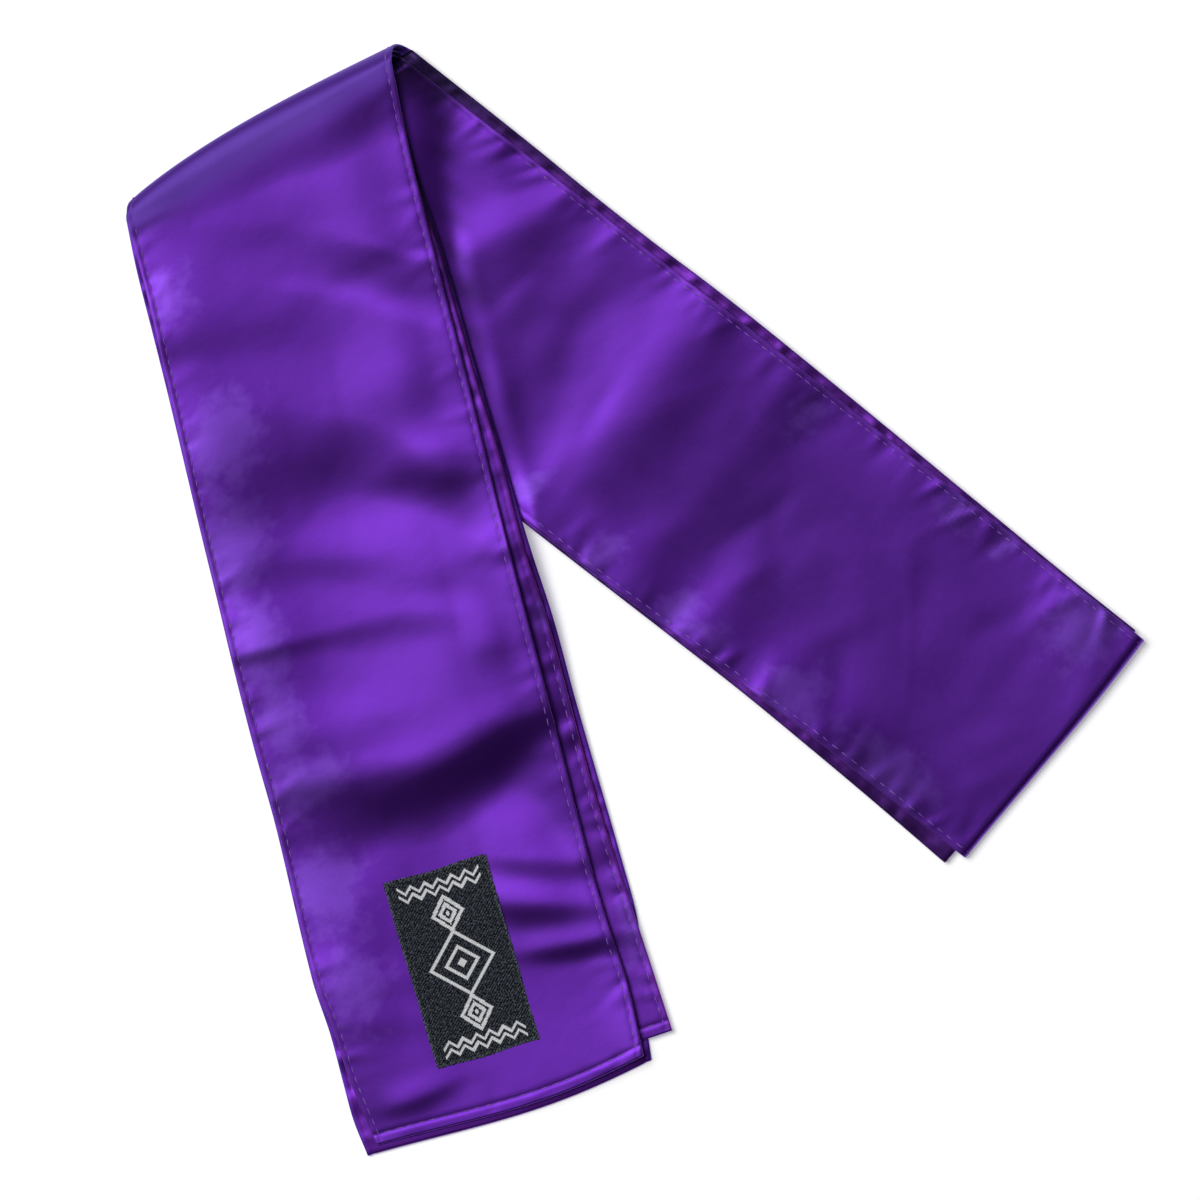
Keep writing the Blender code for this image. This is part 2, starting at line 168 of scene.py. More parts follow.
FRONT_FOLDS = crest_lines(
    ((63, -62, 1.3, 22, 13), (61, -44, 0.9, 22, 15), (56, -30, 0.6, 24, 18),
     (54, -12, 0.5, 16, 16), (54, 4, 0.1, 12, 14)),
    ((24, -36, 0.2, 34, 10), (27, -22, 0.5, 32, 11), (31, -6, 0.7, 32, 12), (38, 10, 1.2, 36, 12),
     (46, 25, 1.5, 42, 12), (55, 40, 0.9, 36, 11), (62, 54, 0.4, 26, 11)),
    ((55, -20, 0.1, 5, 13), (61, -2, 0.35, 5, 13), (69, 14, 0.5, 6, 15), (79, 30, 0.8, 6, 20),
     (88, 44, 0.6, 7, 20), (94, 54, 0.4, 8, 20)),
    ((111, -62, 1.0, 24, 22), (110, -44, 0.9, 24, 20), (107, -30, 0.5, 22, 18),
     (105, -18, 0.1, 20, 18)),
    ((58, -16, 0.05, 22, 40), (60, 2, 0.2, 22, 40), (60, 18, 0.6, 22, 42), (61, 32, 1.0, 22, 44),
     (61, 44, 1.0, 22, 42), (60, 54, 0.6, 20, 36)),
    ((101, 2, 0.2, 16, 13), (101, 14, 0.8, 17, 15), (101, 26, 0.9, 17, 15),
     (101, 38, 0.3, 16, 12)),
    ((148, -62, 0.6, 24, 16), (145, -44, 0.5, 24, 15), (139, -26, 0.2, 20, 14)),
    ((45, 18, 0.02, 1.6, 2.4), (50, 28, 0.12, 1.6, 2.4), (60, 46, 0.10, 1.6, 2.4),
     (63, 52, 0.02, 1.6, 2.4)),
    ((22.5, -58, 0.16, 2.4, 1.2), (20, -50, 0.14, 2.4, 1.2), (18, -41, 0.03, 2.4, 1.2)),
    ((131, 18, 0.3, 14, 9), (135, 34, 1.1, 18, 8), (131, 50, 0.5, 24, 9)),
    ((153, -44, 0.3, 11, 8), (154, -24, 0.6, 11, 8), (158, -6, 0.8, 12, 9), (160, 8, 0.7, 14, 12),
     (163, 20, 0.2, 14, 12)),
    ((186, -62, 0.7, 34, 20), (186, -44, 0.6, 30, 18), (186, -26, 0.1, 20, 14)),
    ((184, -62, 0.5, 18, 3.5), (184, -44, 0.6, 18, 3.5), (183, -24, 0.55, 20, 5),
     (182, -8, 0.8, 20, 8), (182, 4, 0.8, 20, 8), (184, 16, 0.6, 16, 8), (188, 26, 0.1, 14, 6)),
    ((172, 24, 0.2, 28, 44), (172, 36, 1.2, 28, 48), (172, 52, 2.6, 28, 52)),
    ((168, 34, 0.1, 8, 4), (168, 44, 0.5, 8, 4), (169, 54, 0.3, 8, 4)),
    ((200, 24, 0.1, 10, 7), (201, 34, 0.45, 10, 7), (202, 42, 0.1, 10, 7)),
    ((216, -40, 0.2, 14, 7), (216, -15, 0.3, 14, 7), (216, 4, 0.1, 14, 7)),
    ((240, -62, 1.2, 50, 26), (242, -42, 1.1, 48, 16), (244, -26, 1.3, 42, 10.5),
     (243, -10, 2.0, 50, 9.5), (240, 5, 3.1, 66, 9.5), (236, 20, 4.0, 84, 10),
     (232, 33, 3.7, 80, 9.5), (230, 44, 2.3, 66, 7.5), (228, 54, 1.4, 60, 7)),
    ((237, -52, 0.3, 9, 7), (238, -38, 0.8, 9, 7), (239, -22, 0.5, 8, 6), (239, -6, 0.4, 8, 6),
     (236, 8, 0.3, 8, 6), (232, 22, 0.3, 8, 6), (228, 36, 0.4, 8, 6), (224, 52, 0.4, 8, 6)),
    ((288, -62, 1.2, 22, 24), (288, -42, 1.5, 22, 18), (284, -26, 0.7, 18, 18),
     (282, -14, 0.1, 18, 18)),
    ((277, 12, 0.6, 15, 6.5), (280, 22, 1.5, 17, 7), (283, 33, 1.8, 18, 7),
     (287, 46, 1.0, 18, 6.5), (288, 54, 0.4, 16, 6)),
    ((294, 12, 1.2, 9, 6.5), (297, 20, 2.1, 10, 7), (300, 32, 2.3, 11, 7),
     (303, 44, 1.4, 11, 6.5), (305, 54, 0.5, 11, 6)),
    ((315, 18, 0.4, 9, 4), (316, 28, 1.1, 9, 4.2), (317, 40, 1.4, 9, 4.2),
     (317, 54, 1.1, 10, 4.2)),
    ((320, -62, 1.6, 22, 26), (320, -44, 1.7, 20, 22), (319, -28, 0.9, 18, 18)),
    ((346, -52, 0.4, 12, 10), (345, -38, 0.6, 12, 10), (343, -26, 0.6, 12, 10),
     (340, -14, 0.2, 12, 10)),
    ((359, -46, 0.2, 8, 4), (359, -36, 0.8, 8, 4), (357, -24, 0.7, 8, 4), (354, -12, 0.1, 8, 4)),
)
BACK_FOLDS = crest_lines(
    ((78, 32, 0.1, 12, 8), (71, 44, 0.6, 12, 8), (66, 56, 0.6, 12, 8)),
    ((80, -8, 0.8, 10, 14), (84, 4, 1.3, 10, 16), (90, 18, 1.5, 12, 16), (94, 32, 1.4, 11, 13),
     (98, 44, 0.9, 9, 12), (99, 56, 0.8, 9, 12)),
    ((104, -16, 0.4, 10, 14), (108, -4, 0.5, 10, 10), (108, 8, 0.6, 10, 10),
     (110, 18, 0.2, 10, 10)),
    ((132, -38, 0.5, 12, 12), (124, -26, 1.1, 12, 12), (119, -12, 0.6, 12, 14),
     (117, 0, 0.2, 12, 14)),
    ((126, 26, 0.2, 9, 11), (126, 40, 0.6, 10, 11), (125, 56, 0.7, 10, 11)),
    ((142, 40, 0.1, 10, 5), (142, 50, 0.5, 10, 5)),
    ((128, -26, 0.1, 12, 14), (130, -10, 0.4, 12, 14), (130, 2, 0.6, 12, 14),
     (130, 14, 0.3, 12, 14), (130, 24, 0.1, 12, 14)),
    ((159, -58, 1.3, 26, 24), (157, -46, 1.1, 24, 20), (150, -36, 0.2, 12, 12)),
    ((174, -58, 1.1, 20, 40), (172, -45, 1.3, 19, 30), (168, -30, 1.8, 19, 22),
     (169, 0, 2.1, 19, 20), (168, 25, 2.1, 19, 20), (168, 56, 1.8, 19, 20)),
    ((222, -60, 1.9, 50, 60), (222, -44, 1.5, 50, 60), (218, -30, 0.3, 40, 40)),
    ((206, -58, 0.5, 9, 9), (206, -42, 0.4, 9, 9), (205, -28, 0.2, 9, 9)),
    ((206, 36, 0.2, 7, 7), (206, 46, 0.4, 7, 7), (206, 56, 0.4, 7, 7)),
    ((205, -58, 0.4, 26, 20), (205, -40, 0.6, 26, 16), (205, -15, 0.9, 26, 15),
     (206, 20, 0.9, 26, 15), (206, 56, 0.9, 26, 14)),
    ((239, -58, 1.0, 10, 14), (239, -40, 0.9, 10, 14), (239, -22, 0.7, 10, 14),
     (239, -4, 0.1, 10, 12)),
    ((261, 34, 0.1, 11, 10), (261, 46, 0.4, 11, 10), (261, 56, 0.4, 11, 10)),
    ((296, -58, 2.4, 46, 40), (294, -42, 1.8, 44, 40), (290, -28, 0.3, 36, 36)),
    ((272, -58, 0.7, 9, 10), (272, -44, 0.6, 9, 10), (271, -30, 0.2, 9, 10)),
    ((289, -58, 0.5, 8, 12), (289, -46, 0.4, 8, 12), (288, -34, 0.05, 8, 12)),
    ((286, 34, 0.1, 14, 10), (284, 46, 0.6, 14, 10), (284, 56, 0.7, 14, 10)),
    ((306, -58, 0.2, 14, 12), (306, -30, 0.25, 14, 12), (305, -5, 0.1, 14, 12)),
    ((315, -22, 0.02, 1.8, 1.8), (298, 2, 0.05, 1.8, 1.8), (280, 25, 0.02, 1.8, 1.8)),
    ((348, 22, 0.1, 18, 10), (345, 38, 0.7, 16, 10), (344, 56, 1.2, 16, 10)),
    ((368, -10, 0.1, 20, 9), (368, 10, 0.4, 20, 9), (368, 30, 1.0, 20, 9), (368, 56, 1.5, 20, 9)),
)

# The front limb comes down from the back limb in two steps. The first takes `share` of the
# drop, from `along` over `length`, and the second takes what is left.
Step = namedtuple("Step", "along across length share", defaults=(None,))
FIRST_STEP = table(
    Step, (70, -60, 104, 0.40), (79, -44, 86, 0.43), (93, -28, 58, 0.5), (104, -8, 34, 0.5),
    (108, 6, 34, 0.5), (119, 20, 30, 0.5), (128, 33, 30, 0.46), (122, 50, 50, 0.3),
)
SECOND_STEP = table(
    Step, (178, -60, 132), (197, -44, 94), (227, -28, 42), (235, -8, 34), (234, 6, 34),
    (230, 20, 32), (228, 33, 34), (230, 50, 76),
)

# Dents and swellings between the folds, and wrinkles that the seams draw in
Dimples = namedtuple("Dimples", "seed count height size")
FRONT_DIMPLES = Dimples(5, 60, 0.22, 13.0)
BACK_DIMPLES = Dimples(6, 90, 0.2, 10.0)
PUCKER_REACH = 8.0
HEM_PUCKERS = 16
HEM_PUCKER_HEIGHT = 0.25
HEM_PUCKER_REACH = 6.0

# Painted sheen: pale patches near the limbs' edges, painted highlights where the satin catches
# more light. A spot is this long and wide about its middle.
Spot = namedtuple("Spot", "along across long wide strength")
FRONT_PAINTED_SHEEN = table(
    Spot, (35, -49, 15, 11, 0.55), (94, -43, 17, 15, 1.0), (134, -49, 16, 14, 1.0),
    (172, -49, 16, 11, 0.9), (203, -48, 14, 10, 0.8), (230, -44, 10, 18, 0.9),
    (268, -45, 15, 14, 1.0), (308, -44, 18, 14, 0.75),
)
SECOND_PAINTED_SHEEN = table(Spot, (206, 57, 12, 5, 0.6), (236, 58, 12, 5, 0.5), (322, 60, 26, 7, 0.6))
BACK_PAINTED_SHEEN = table(
    Spot, (165, -45, 5, 11, 0.8), (200, -46, 7, 12, 0.7), (233, -46, 7, 13, 0.7),
    (248, -46, 8, 10, 0.5), (283, -44, 13, 13, 0.75), (328, -45, 22, 12, 0.85),
    (213, 42, 9, 14, 0.6), (281, 47, 12, 9, 0.65), (347, 42, 14, 16, 0.95),
    (303, 48, 7, 9, 0.65),
)

# Painted shade on the back limb: dark at the apex, where the passes are packed, and along the
# front limb's edge, which shades it. Its middle has a little painted shade too.
BACK_SHADOWS = table(
    Spot, (6, 50, 15, 14, 0.9), (23, 49, 6, 6, 0.6), (33, 42, 6, 4, 0.5), (44, 34, 6, 4, 0.45),
    (56, 25, 7, 3, 0.35), (67, 17, 7, 3, 0.35), (79, 7, 7, 3, 0.4), (93, -1, 8, 5, 0.5),
    (105, -13, 8, 3, 0.4), (120, -25, 8, 3, 0.4), (134, -35, 7, 3, 0.3), (232, 5, 60, 34, 0.14),
    (112, 12, 30, 32, 0.14),
)
# Painted shade on its lower passes too, at the apex and at the left of its far end
BACK_LOWER_SHADOWS = table(
    Spot, (6, 54, 34, 12, 1.0), (64, 55, 40, 4, 0.7), (335, -58, 46, 6, 0.6),
)
# Painted shade on the front limb's lower passes, under its right edge, near the apex
SECOND_SHADOWS = table(Spot, (12, 50, 16, 4, 0.9), (36, 50, 16, 4, 0.9), (56, 51, 10, 3, 0.6))
FRONT_LOWER_SHADOWS = table(
    Spot, (15, 50, 20, 4, 0.9), (45, 50, 20, 4, 0.9), (75, 52, 16, 3, 0.8), (105, 54, 16, 3, 0.7),
    (135, 55, 16, 3, 0.6),
)

# Sewing
STITCH_INSET = 2.3             # the edge rows lie this far inside the edge
HEM_INSET = 4.0
STITCH_PITCH = 4.3
STITCH_LENGTH = 3.3
STITCH_WIDTH = 0.42
STITCH_HEIGHT = 0.3
SEAM_DEPTH = 0.16              # how far a seam pulls each face in
SEAM_WIDTH = 0.6
HEM_DEPTH = 0.20               # and the hem's seam, where the cloth is turned and thicker
BEAD = 0.04                    # the turned edge outside a seam swells by this much
BEAD_INSET = 1.1
BEAD_WIDTH = 0.7
UNDER_STITCH = 0.14            # stitches that the sash lies on are pressed flat

# Woven label, sewn on the top pass of the front limb; a motif stands on each end and
# three lozenges down its middle
LABEL_WIDTH = 39.5
LABEL_LENGTH = 71.5
LABEL_MIDDLE = (313.4, -4.0)
LABEL_TURN = 2.8
LABEL_CLOTH = 0.55
LABEL_GAP = 0.12
LABEL_WAVE = 0.10              # how far its cut edges wander
LABEL_RIM = (0.0, 0.05, 0.15, 0.35, 0.7, 1.1, 1.6, 2.1)
LABEL_STITCH_COLUMN = LABEL_RIM.index(1.6)
LABEL_STITCH_PITCH = 2.1
LABEL_STITCH_LENGTH = 1.7
LABEL_STITCH_WIDTH = 0.6
LABEL_STITCH_TURN = 0.35       # the border stitches lie askew
LABEL_SEAM_DEPTH = 0.09
LABEL_SEAM_WIDTH = 0.4
LABEL_THREAD = 0.42            # the motifs are stepped to the woven threads
LABEL_WALE = 1.3               # spacing of the twill's slanted ribs, measured along its edge
Lozenge = namedtuple("Lozenge", "at wide high")
LABEL_LOZENGES = (Lozenge(-19.0, 5.6, 6.4), Lozenge(0.0, 12.0, 12.0), Lozenge(19.0, 5.6, 6.4))
ZIGZAG_AT = 29.6               # zigzag lines this far from the label's middle
ZIGZAG_HEIGHT = 2.6
ZIGZAG_PITCH = 5.2
ZIGZAG_REACH = 15.6
MOTIF_LINE = 0.7

# Grid of every shell: distances from an edge, then even columns between
RIM_COLUMNS = (0.0, 0.06, 0.2, 0.45, 0.8, 1.25, 1.75, 2.3, 2.85, 3.6, 4.8, 6.4)
STITCH_COLUMN = RIM_COLUMNS.index(STITCH_INSET)
EDGE_COLUMNS = (STITCH_COLUMN, -1 - STITCH_COLUMN)
SHOWN_COLUMNS = 46
HIDDEN_COLUMNS = 20
END_ROWS = (0.0, 0.06, 0.2, 0.45, 0.8, 1.3, 2.0, 2.8, 3.4, 4.0, 4.6, 5.4, 6.6, 8.0)
HEM_ROW = END_ROWS.index(HEM_INSET)
ROW_STEP = STITCH_PITCH / 3
ROLL_ROWS = 30
TURN_STEPS = 9                 # steps of a half turn at a limb's end
CUT_STEP = 0.01                # a square end's doubled row stands out by this share of a row
SUNK_ROWS_OF_BACK = 44         # rows whose right seam is sunk out of sight, on the back limb
SUNK_ROWS_OF_SECOND = ROLL_ROWS + 150   # and on the front limb's second pass
RIM_RADIUS = 0.55
RESTING = 0.02                 # no satin reaches below the surface that the sash lies on

# Satins: two close tones of satin, and a tone painted at the bare edges: a painted edge highlight,
# except on the shaded satin, where it is painted shade. The under and shaded satins are darker
# copies of the satin, painted shade for the passes that lie below.
Satin = namedtuple("Satin", "name deep light rim rim_amount")
SHOWN_SATIN = Satin("purple_satin", (0.136, 0.019, 0.425, 1.0), (0.157, 0.025, 0.475, 1.0),
                    (0.20, 0.045, 0.48, 1.0), 0.6)
SECOND_SATIN = Satin("purple_satin_second", (0.140, 0.019, 0.415, 1.0),
                     (0.165, 0.026, 0.465, 1.0), (0.26, 0.035, 0.46, 1.0), 0.8)
UNDER_SATIN = Satin("purple_satin_under", (0.135, 0.016, 0.36, 1.0), (0.165, 0.023, 0.44, 1.0),
                    (0.13, 0.030, 0.56, 1.0), 0.6)
SHADED_SATIN = Satin("purple_satin_shaded", (0.120, 0.015, 0.30, 1.0), (0.150, 0.021, 0.38, 1.0),
                     (0.095, 0.017, 0.26, 1.0), 0.75)
SATIN_GLOSS = {"Metallic": 0.95, "Anisotropic": 0.7, "Coat Weight": 0.12, "Coat Roughness": 0.4,
               "Sheen Weight": 0.3, "Sheen Roughness": 0.3, "Sheen Tint": (0.62, 0.68, 1.0, 1.0)}
SATIN_ROUGHNESS = 0.465
DULL_ROUGHNESS = 0.27          # the slanted fold is this much rougher
# painted sheen: the colour of the pale patches
PAINTED_SHEEN_COLOUR = (0.205, 0.056, 0.590, 1.0)
# painted sheen, greyer, over the slanted fold
ROLL_PAINTED_SHEEN_COLOUR = (0.185, 0.062, 0.540, 1.0)
# painted shade: the colour of the dark spots
SHADOW_COLOUR = (0.020, 0.006, 0.060, 1.0)
LILAC = ((0.14, 0.043, 0.35, 1.0), (0.29, 0.135, 0.55, 1.0))   # darker and lighter tone
BLACK = ((0.003, 0.003, 0.004, 1.0), (0.010, 0.010, 0.013, 1.0))
TWILL = ((0.001, 0.001, 0.002, 1.0), (0.108, 0.126, 0.158, 1.0))
SILVER = ((0.34, 0.35, 0.38, 1.0), (0.98, 0.98, 1.00, 1.0))

# Studio
FLOOR_SIZE = 6.0
FLOOR_WHITE = (0.92, 0.92, 0.92, 1.0)
FLOOR_GLOW = 0.34
WORLD_STRENGTH = 0.05
KEY_PLACE = (-4.96, 2.86, 10.55)
KEY_SIZE = 7.1
KEY_POWER = 1250.0
LENS = 700.0
SENSOR = 36.0
SEEN_WIDTH = 0.4435            # what the camera sees of the surface
SEEN_MIDDLE = (-0.0121, 0.0001)


# ---------------------------------------------------------------- plan geometry
def direction(angle):
    """Unit vector in the plan at an angle in degrees."""
    return np.array([math.cos(math.radians(angle)), math.sin(math.radians(angle))])


def smooth(value):
    """Eased step from 0 to 1."""
    value = np.clip(value, 0.0, 1.0)
    return value * value * (3.0 - 2.0 * value)


def place(limb, along, across):
    """Plan points of a limb: sections turn from the fold's slant to the end's."""
    share = np.minimum(along / limb.length, 1.0)
    slant = np.radians(limb.fold_slant + (limb.end_slant - limb.fold_slant) * share)
    reach = along + across * np.tan(slant)
    ahead = direction(limb.heading)
    side = direction(limb.heading + 90.0)
    return FOLD_MIDDLE + reach[..., None] * ahead + across[..., None] * side


def limb_coordinates(limb, plan):
    """Along and across of plan points."""
    offset = plan - FOLD_MIDDLE
    return offset @ direction(limb.heading), offset @ direction(limb.heading + 90.0)


def curve_through(stops, values, at):
    """Smooth curve through a few points, level beyond its ends, and its slope."""
    stops = np.asarray(stops, float)
    values = np.asarray(values, float)
    slopes = np.gradient(values, stops)
    slopes[1:-1] = (values[2:] - values[:-2]) / (stops[2:] - stops[:-2])
    index = np.clip(np.searchsorted(stops, at, side="right") - 1, 0, len(stops) - 2)
    span = stops[index + 1] - stops[index]
    u = np.clip((at - stops[index]) / span, 0.0, 1.0)
    low, high = values[index], values[index + 1]
    start, end = span * slopes[index], span * slopes[index + 1]
    curve = ((2 * u ** 3 - 3 * u ** 2 + 1) * low + (u ** 3 - 2 * u ** 2 + u) * start
             + (3 * u ** 2 - 2 * u ** 3) * high + (u ** 3 - u ** 2) * end)
    slope = ((6 * u ** 2 - 6 * u) * (low - high) + (3 * u ** 2 - 4 * u + 1) * start
             + (3 * u ** 2 - 2 * u) * end) / span
    return curve, slope


def column_through(rows, name, at, over="across"):
    """One column of a table of rows, as a smooth curve over another."""
    stops = [getattr(row, over) for row in rows]
    return curve_through(stops, [getattr(row, name) for row in rows], at)[0]


# ---------------------------------------------------------------- heights
def relief(folds, along, across):
    """Height of all folds over their limb."""
    height = np.zeros_like(along)
    for fold in folds:
        stops = [crest.across for crest in fold]
        crest_along, slope = curve_through(stops, [crest.along for crest in fold], across)
        rise, before, after = (column_through(fold, name, across)
                               for name in ("rise", "before", "after"))
        beyond = np.maximum(stops[0] - across, 0) + np.maximum(across - stops[-1], 0)
        offset = (along - crest_along) / np.sqrt(1.0 + slope ** 2)
        spread = np.where(offset < 0, before, after)
        height += rise * np.exp(-(offset / spread) ** 2 - (beyond / FOLD_END) ** 2)
    return height


def dimpled(dimples, along, across):
    """Soft shallow dents and swellings, wider across the band than along it."""
    rng = np.random.default_rng(dimples.seed)
    total = np.zeros_like(along)
    for _ in range(dimples.count):
        at_along = rng.uniform(along.min(), along.max())
        at_across = rng.uniform(across.min(), across.max())
        tilt = rng.uniform(-0.5, 0.5)
        wide = dimples.size * rng.uniform(0.8, 2.2)
        long = dimples.size * rng.uniform(0.4, 0.9)
        rise = dimples.height * rng.uniform(-1.0, 1.0)
        offset = along - at_along - tilt * (across - at_across)
        total += rise * np.exp(-(offset / long) ** 2 - ((across - at_across) / wide) ** 2)
    return total


def settled(height):
    """Hollows level off where the cloth meets the passes under it."""
    return np.where(height < 0, -DEEPEST * np.tanh(-height / DEEPEST), height)


def lift(plan):
    """How high the front limb's underside lies: on the back limb, then on the surface."""
    beyond = -limb_coordinates(BACK, plan)[1] - EDGE_OF_BACK
    return LIMB_PASSES * PASS * (1.0 - smooth(beyond / DESCENT))


def stepped_lift(along, across):
    """How high the top pass is carried: it comes down from the back limb in two steps."""
    first, second = (
        smooth((along - column_through(step, "along", across))
               / column_through(step, "length", across))
        for step in (FIRST_STEP, SECOND_STEP))
    share = column_through(FIRST_STEP, "share", across)
    return LIMB_PASSES * PASS * (1.0 - share * first - (1.0 - share) * second)


def ridge(offset, before, after):
    """1 on a line, fading out over `before` on one side of it and `after` on the other."""
    return np.exp(-(offset / np.where(offset < 0, before, after)) ** 2)


def from_roll(plan):
    """Distance from the slanted fold, towards both limbs."""
    return (plan - FOLD_MIDDLE) @ direction(FOLD_ANGLE - 90.0)


def swell(plan, start=1.0):
    """Both limbs rise together towards the front limb's right edge, most near the apex."""
    along, across = limb_coordinates(FRONT, plan)
    near_roll = np.exp(-(np.maximum(along, 0.0) / APEX_SWELL_WIDER_FADE) ** 2)
    outwards = APEX_SWELL_OUTWARDS + APEX_SWELL_WIDER * near_roll
    apex = (APEX_SWELL * smooth((APEX_SWELL_START - along) / APEX_SWELL_FADE) * start
            * ridge(across - APEX_SWELL_EDGE, APEX_SWELL_INWARDS, outwards))
    crossing = (smooth((along - CROSSING_START) / CROSSING_FADE_IN)
                * smooth((CROSSING_END - along) / CROSSING_FADE_OUT))
    return apex + (CROSSING_SWELL * crossing
                   * ridge(across - CROSSING_EDGE, APEX_SWELL_INWARDS, CROSSING_OUTWARDS))


def front_height(order):
    """Middle surface of a front pass, number order from the top, over plan points."""
    def height(plan):
        along, across = limb_coordinates(FRONT, plan)
        lowest = lift(plan)
        folds = stepped_lift(along, across) - lowest + relief(FRONT_FOLDS, along, across)
        folds += dimpled(FRONT_DIMPLES, along, across)
        pressed = PRESSED[order] * smooth(from_roll(plan) / PRESSED_FROM_ROLL)
        fallen = (from_roll(plan) - ROLL_LIFT_START) / column_through(ROLL_LIFT, "length", across)
        lifted = column_through(ROLL_LIFT, "rise", across) * (1.0 - smooth(fallen))
        return (LIMB_TOP - order * PASS - WALL / 2 - pressed + lowest + swell(plan)
                + GIVE[order] * (settled(folds) + lifted))
    return height


def back_height(order):
    """Middle surface of a back pass, number order from the top, over plan points."""
    def height(plan):
        along, across = limb_coordinates(BACK, plan)
        uncovered = smooth((limb_coordinates(FRONT, plan)[1] - COVERED_BY_FRONT) / UNCOVERED_FADE)
        folds = relief(BACK_FOLDS, along, across) + dimpled(BACK_DIMPLES, along, across)
        return (LIMB_TOP - order * PASS - WALL / 2
                + GIVE[order] * (uncovered * settled(folds)
                                 + swell(plan, smooth(from_roll(plan) / BACK_SWELL_START))))
    return height


def puckers(run, inset, seed, count, height, reach):
    """Small wrinkles that a seam draws in, from the edge at inset 0 towards the middle."""
    rng = np.random.default_rng(seed)
    total = np.zeros_like(run)
    length = run.max()
    for _ in range(count):
        at = rng.uniform(0.0, length)
        tilt = rng.uniform(-0.5, 0.5)
        width = rng.uniform(1.6, 3.6)
        size = height * rng.uniform(0.3, 1.0) * rng.choice((-0.6, 1.0))
        far = reach * rng.uniform(0.5, 1.6)
        across = np.exp(-((run - at - tilt * inset) / width) ** 2)
        fade = np.exp(-(inset / far) ** 2) * (0.35 + 0.65 * smooth(inset / STITCH_INSET))
        total += size * across * fade
    return total


# ---------------------------------------------------------------- middle surfaces
Surface = namedtuple("Surface", "middle run across inset from_hem")
FAR = 1000.0                   # from_hem where a pass has no hem


def joined(*surfaces):
    """Surfaces that follow each other along the band, as one."""
    return Surface(*[np.concatenate(parts) for parts in zip(*surfaces)])


def turned_over(surface):
    return Surface(*[part[::-1] for part in surface])


def column_offsets(left, right, inner):
    """Offsets across for each row: close together at both edges, even between them."""
    rim = np.array(RIM_COLUMNS)
    share = np.linspace(0.0, 1.0, inner + 2)[1:-1]
    low = left[:, None] + rim
    high = right[:, None] - rim[::-1]
    middle = low[:, -1:] + (high[:, :1] - low[:, -1:]) * share
    return np.concatenate([low, middle, high], axis=1)


def row_stations(end, closing):
    """Even stations along a limb, in step with the stitches, closer before a sewn end."""
    if closing:
        close = end - np.array(END_ROWS)[::-1]
        even = np.arange(0.0, close[0] - ROW_STEP / 2, ROW_STEP)
        return np.concatenate([even, close])
    even = np.arange(0.0, end - ROW_STEP / 2, ROW_STEP)
    return np.append(even, end)


def flat_pass(limb, sections, end, height, *, seed, pucker, pucker_count=60, hemmed=False,
              bow=0.0, inner=HIDDEN_COLUMNS, bend=STRAIGHT):
    """One pass along a limb; height gives the middle surface over the plan points."""
    stations = row_stations(end, hemmed)
    left, right = (column_through(sections, side, stations, over="along")
                   for side in ("left", "right"))
    across = column_offsets(left, right, inner)
    run = np.repeat(stations[:, None], across.shape[1], axis=1)
    from_left = across - left[:, None]
    from_right = right[:, None] - across
    share = from_left / (right - left)[:, None]
    bowed = (bow * np.sin(math.pi * share ** BOW_SKEW)
             * smooth((run - end + BOW_LENGTH) / BOW_LENGTH))
    plan = place(limb, run + bowed, across)
    inset = np.minimum(from_left, from_right)
    z = (height(plan) + bend.left * np.exp(-(from_left / BEND_WIDTH) ** 2)
         + bend.right * np.exp(-(from_right / BEND_WIDTH) ** 2)
         + bend.hem * smooth(share) * np.exp(-((end - run) / HEM_BEND_WIDTH) ** 2))
    for number, from_edge in enumerate((from_left, from_right)):
        z = z + puckers(run, from_edge, seed + number, pucker_count, pucker, PUCKER_REACH)
    from_hem = np.full_like(run, FAR)
    if hemmed:
        z = z + puckers(from_left, end - run, seed + 2, HEM_PUCKERS, HEM_PUCKER_HEIGHT,
                        HEM_PUCKER_REACH)
        from_hem = end - run
    middle = np.concatenate([plan, z[..., None]], axis=2)
    return Surface(middle, run, across, inset, from_hem)


def slanted_roll(surface, order):
    """Rows that turn round the slanted fold, from the lower end to the first row of a pass."""
    radius = (LIMB_PASSES - order) * PASS - GAP / 2 - WALL / 2
    out = direction(FOLD_ANGLE + 90.0)
    fold = direction(FOLD_ANGLE)
    turn = np.linspace(math.pi, 0.0, ROLL_ROWS + 1)[:-1, None]
    across = surface.across[:1]
    start = place(FRONT, np.zeros_like(across), across)
    share = (across - across[0, 0]) / (across[0, -1] - across[0, 0])
    full = ROLL_FULLNESS * (1.0 - order / LIMB_PASSES) * np.sin(math.pi * share ** ROLL_SKEW)
    creep = ROLL_CREEP * turn * radius
    nearest = np.minimum(turn, math.pi - turn)
    swing = (radius * np.sin(turn)
             + full * np.sin(np.minimum(nearest * ROLL_STRAIGHT, math.pi / 2)))
    plan = start + creep[..., None] * fold + swing[..., None] * out
    lifted = surface.middle[:1, :, 2] - ROLL_AXIS - radius
    z = ROLL_AXIS + radius * np.cos(turn) + lifted * (1.0 + np.cos(turn)) / 2
    middle = np.concatenate([plan, z[..., None]], axis=2)
    run = np.broadcast_to(-turn * radius, plan.shape[:2])
    level = [np.broadcast_to(part[:1], plan.shape[:2])
             for part in (surface.across, surface.inset)]
    return Surface(middle, run, level[0], level[1], np.full(plan.shape[:2], FAR))


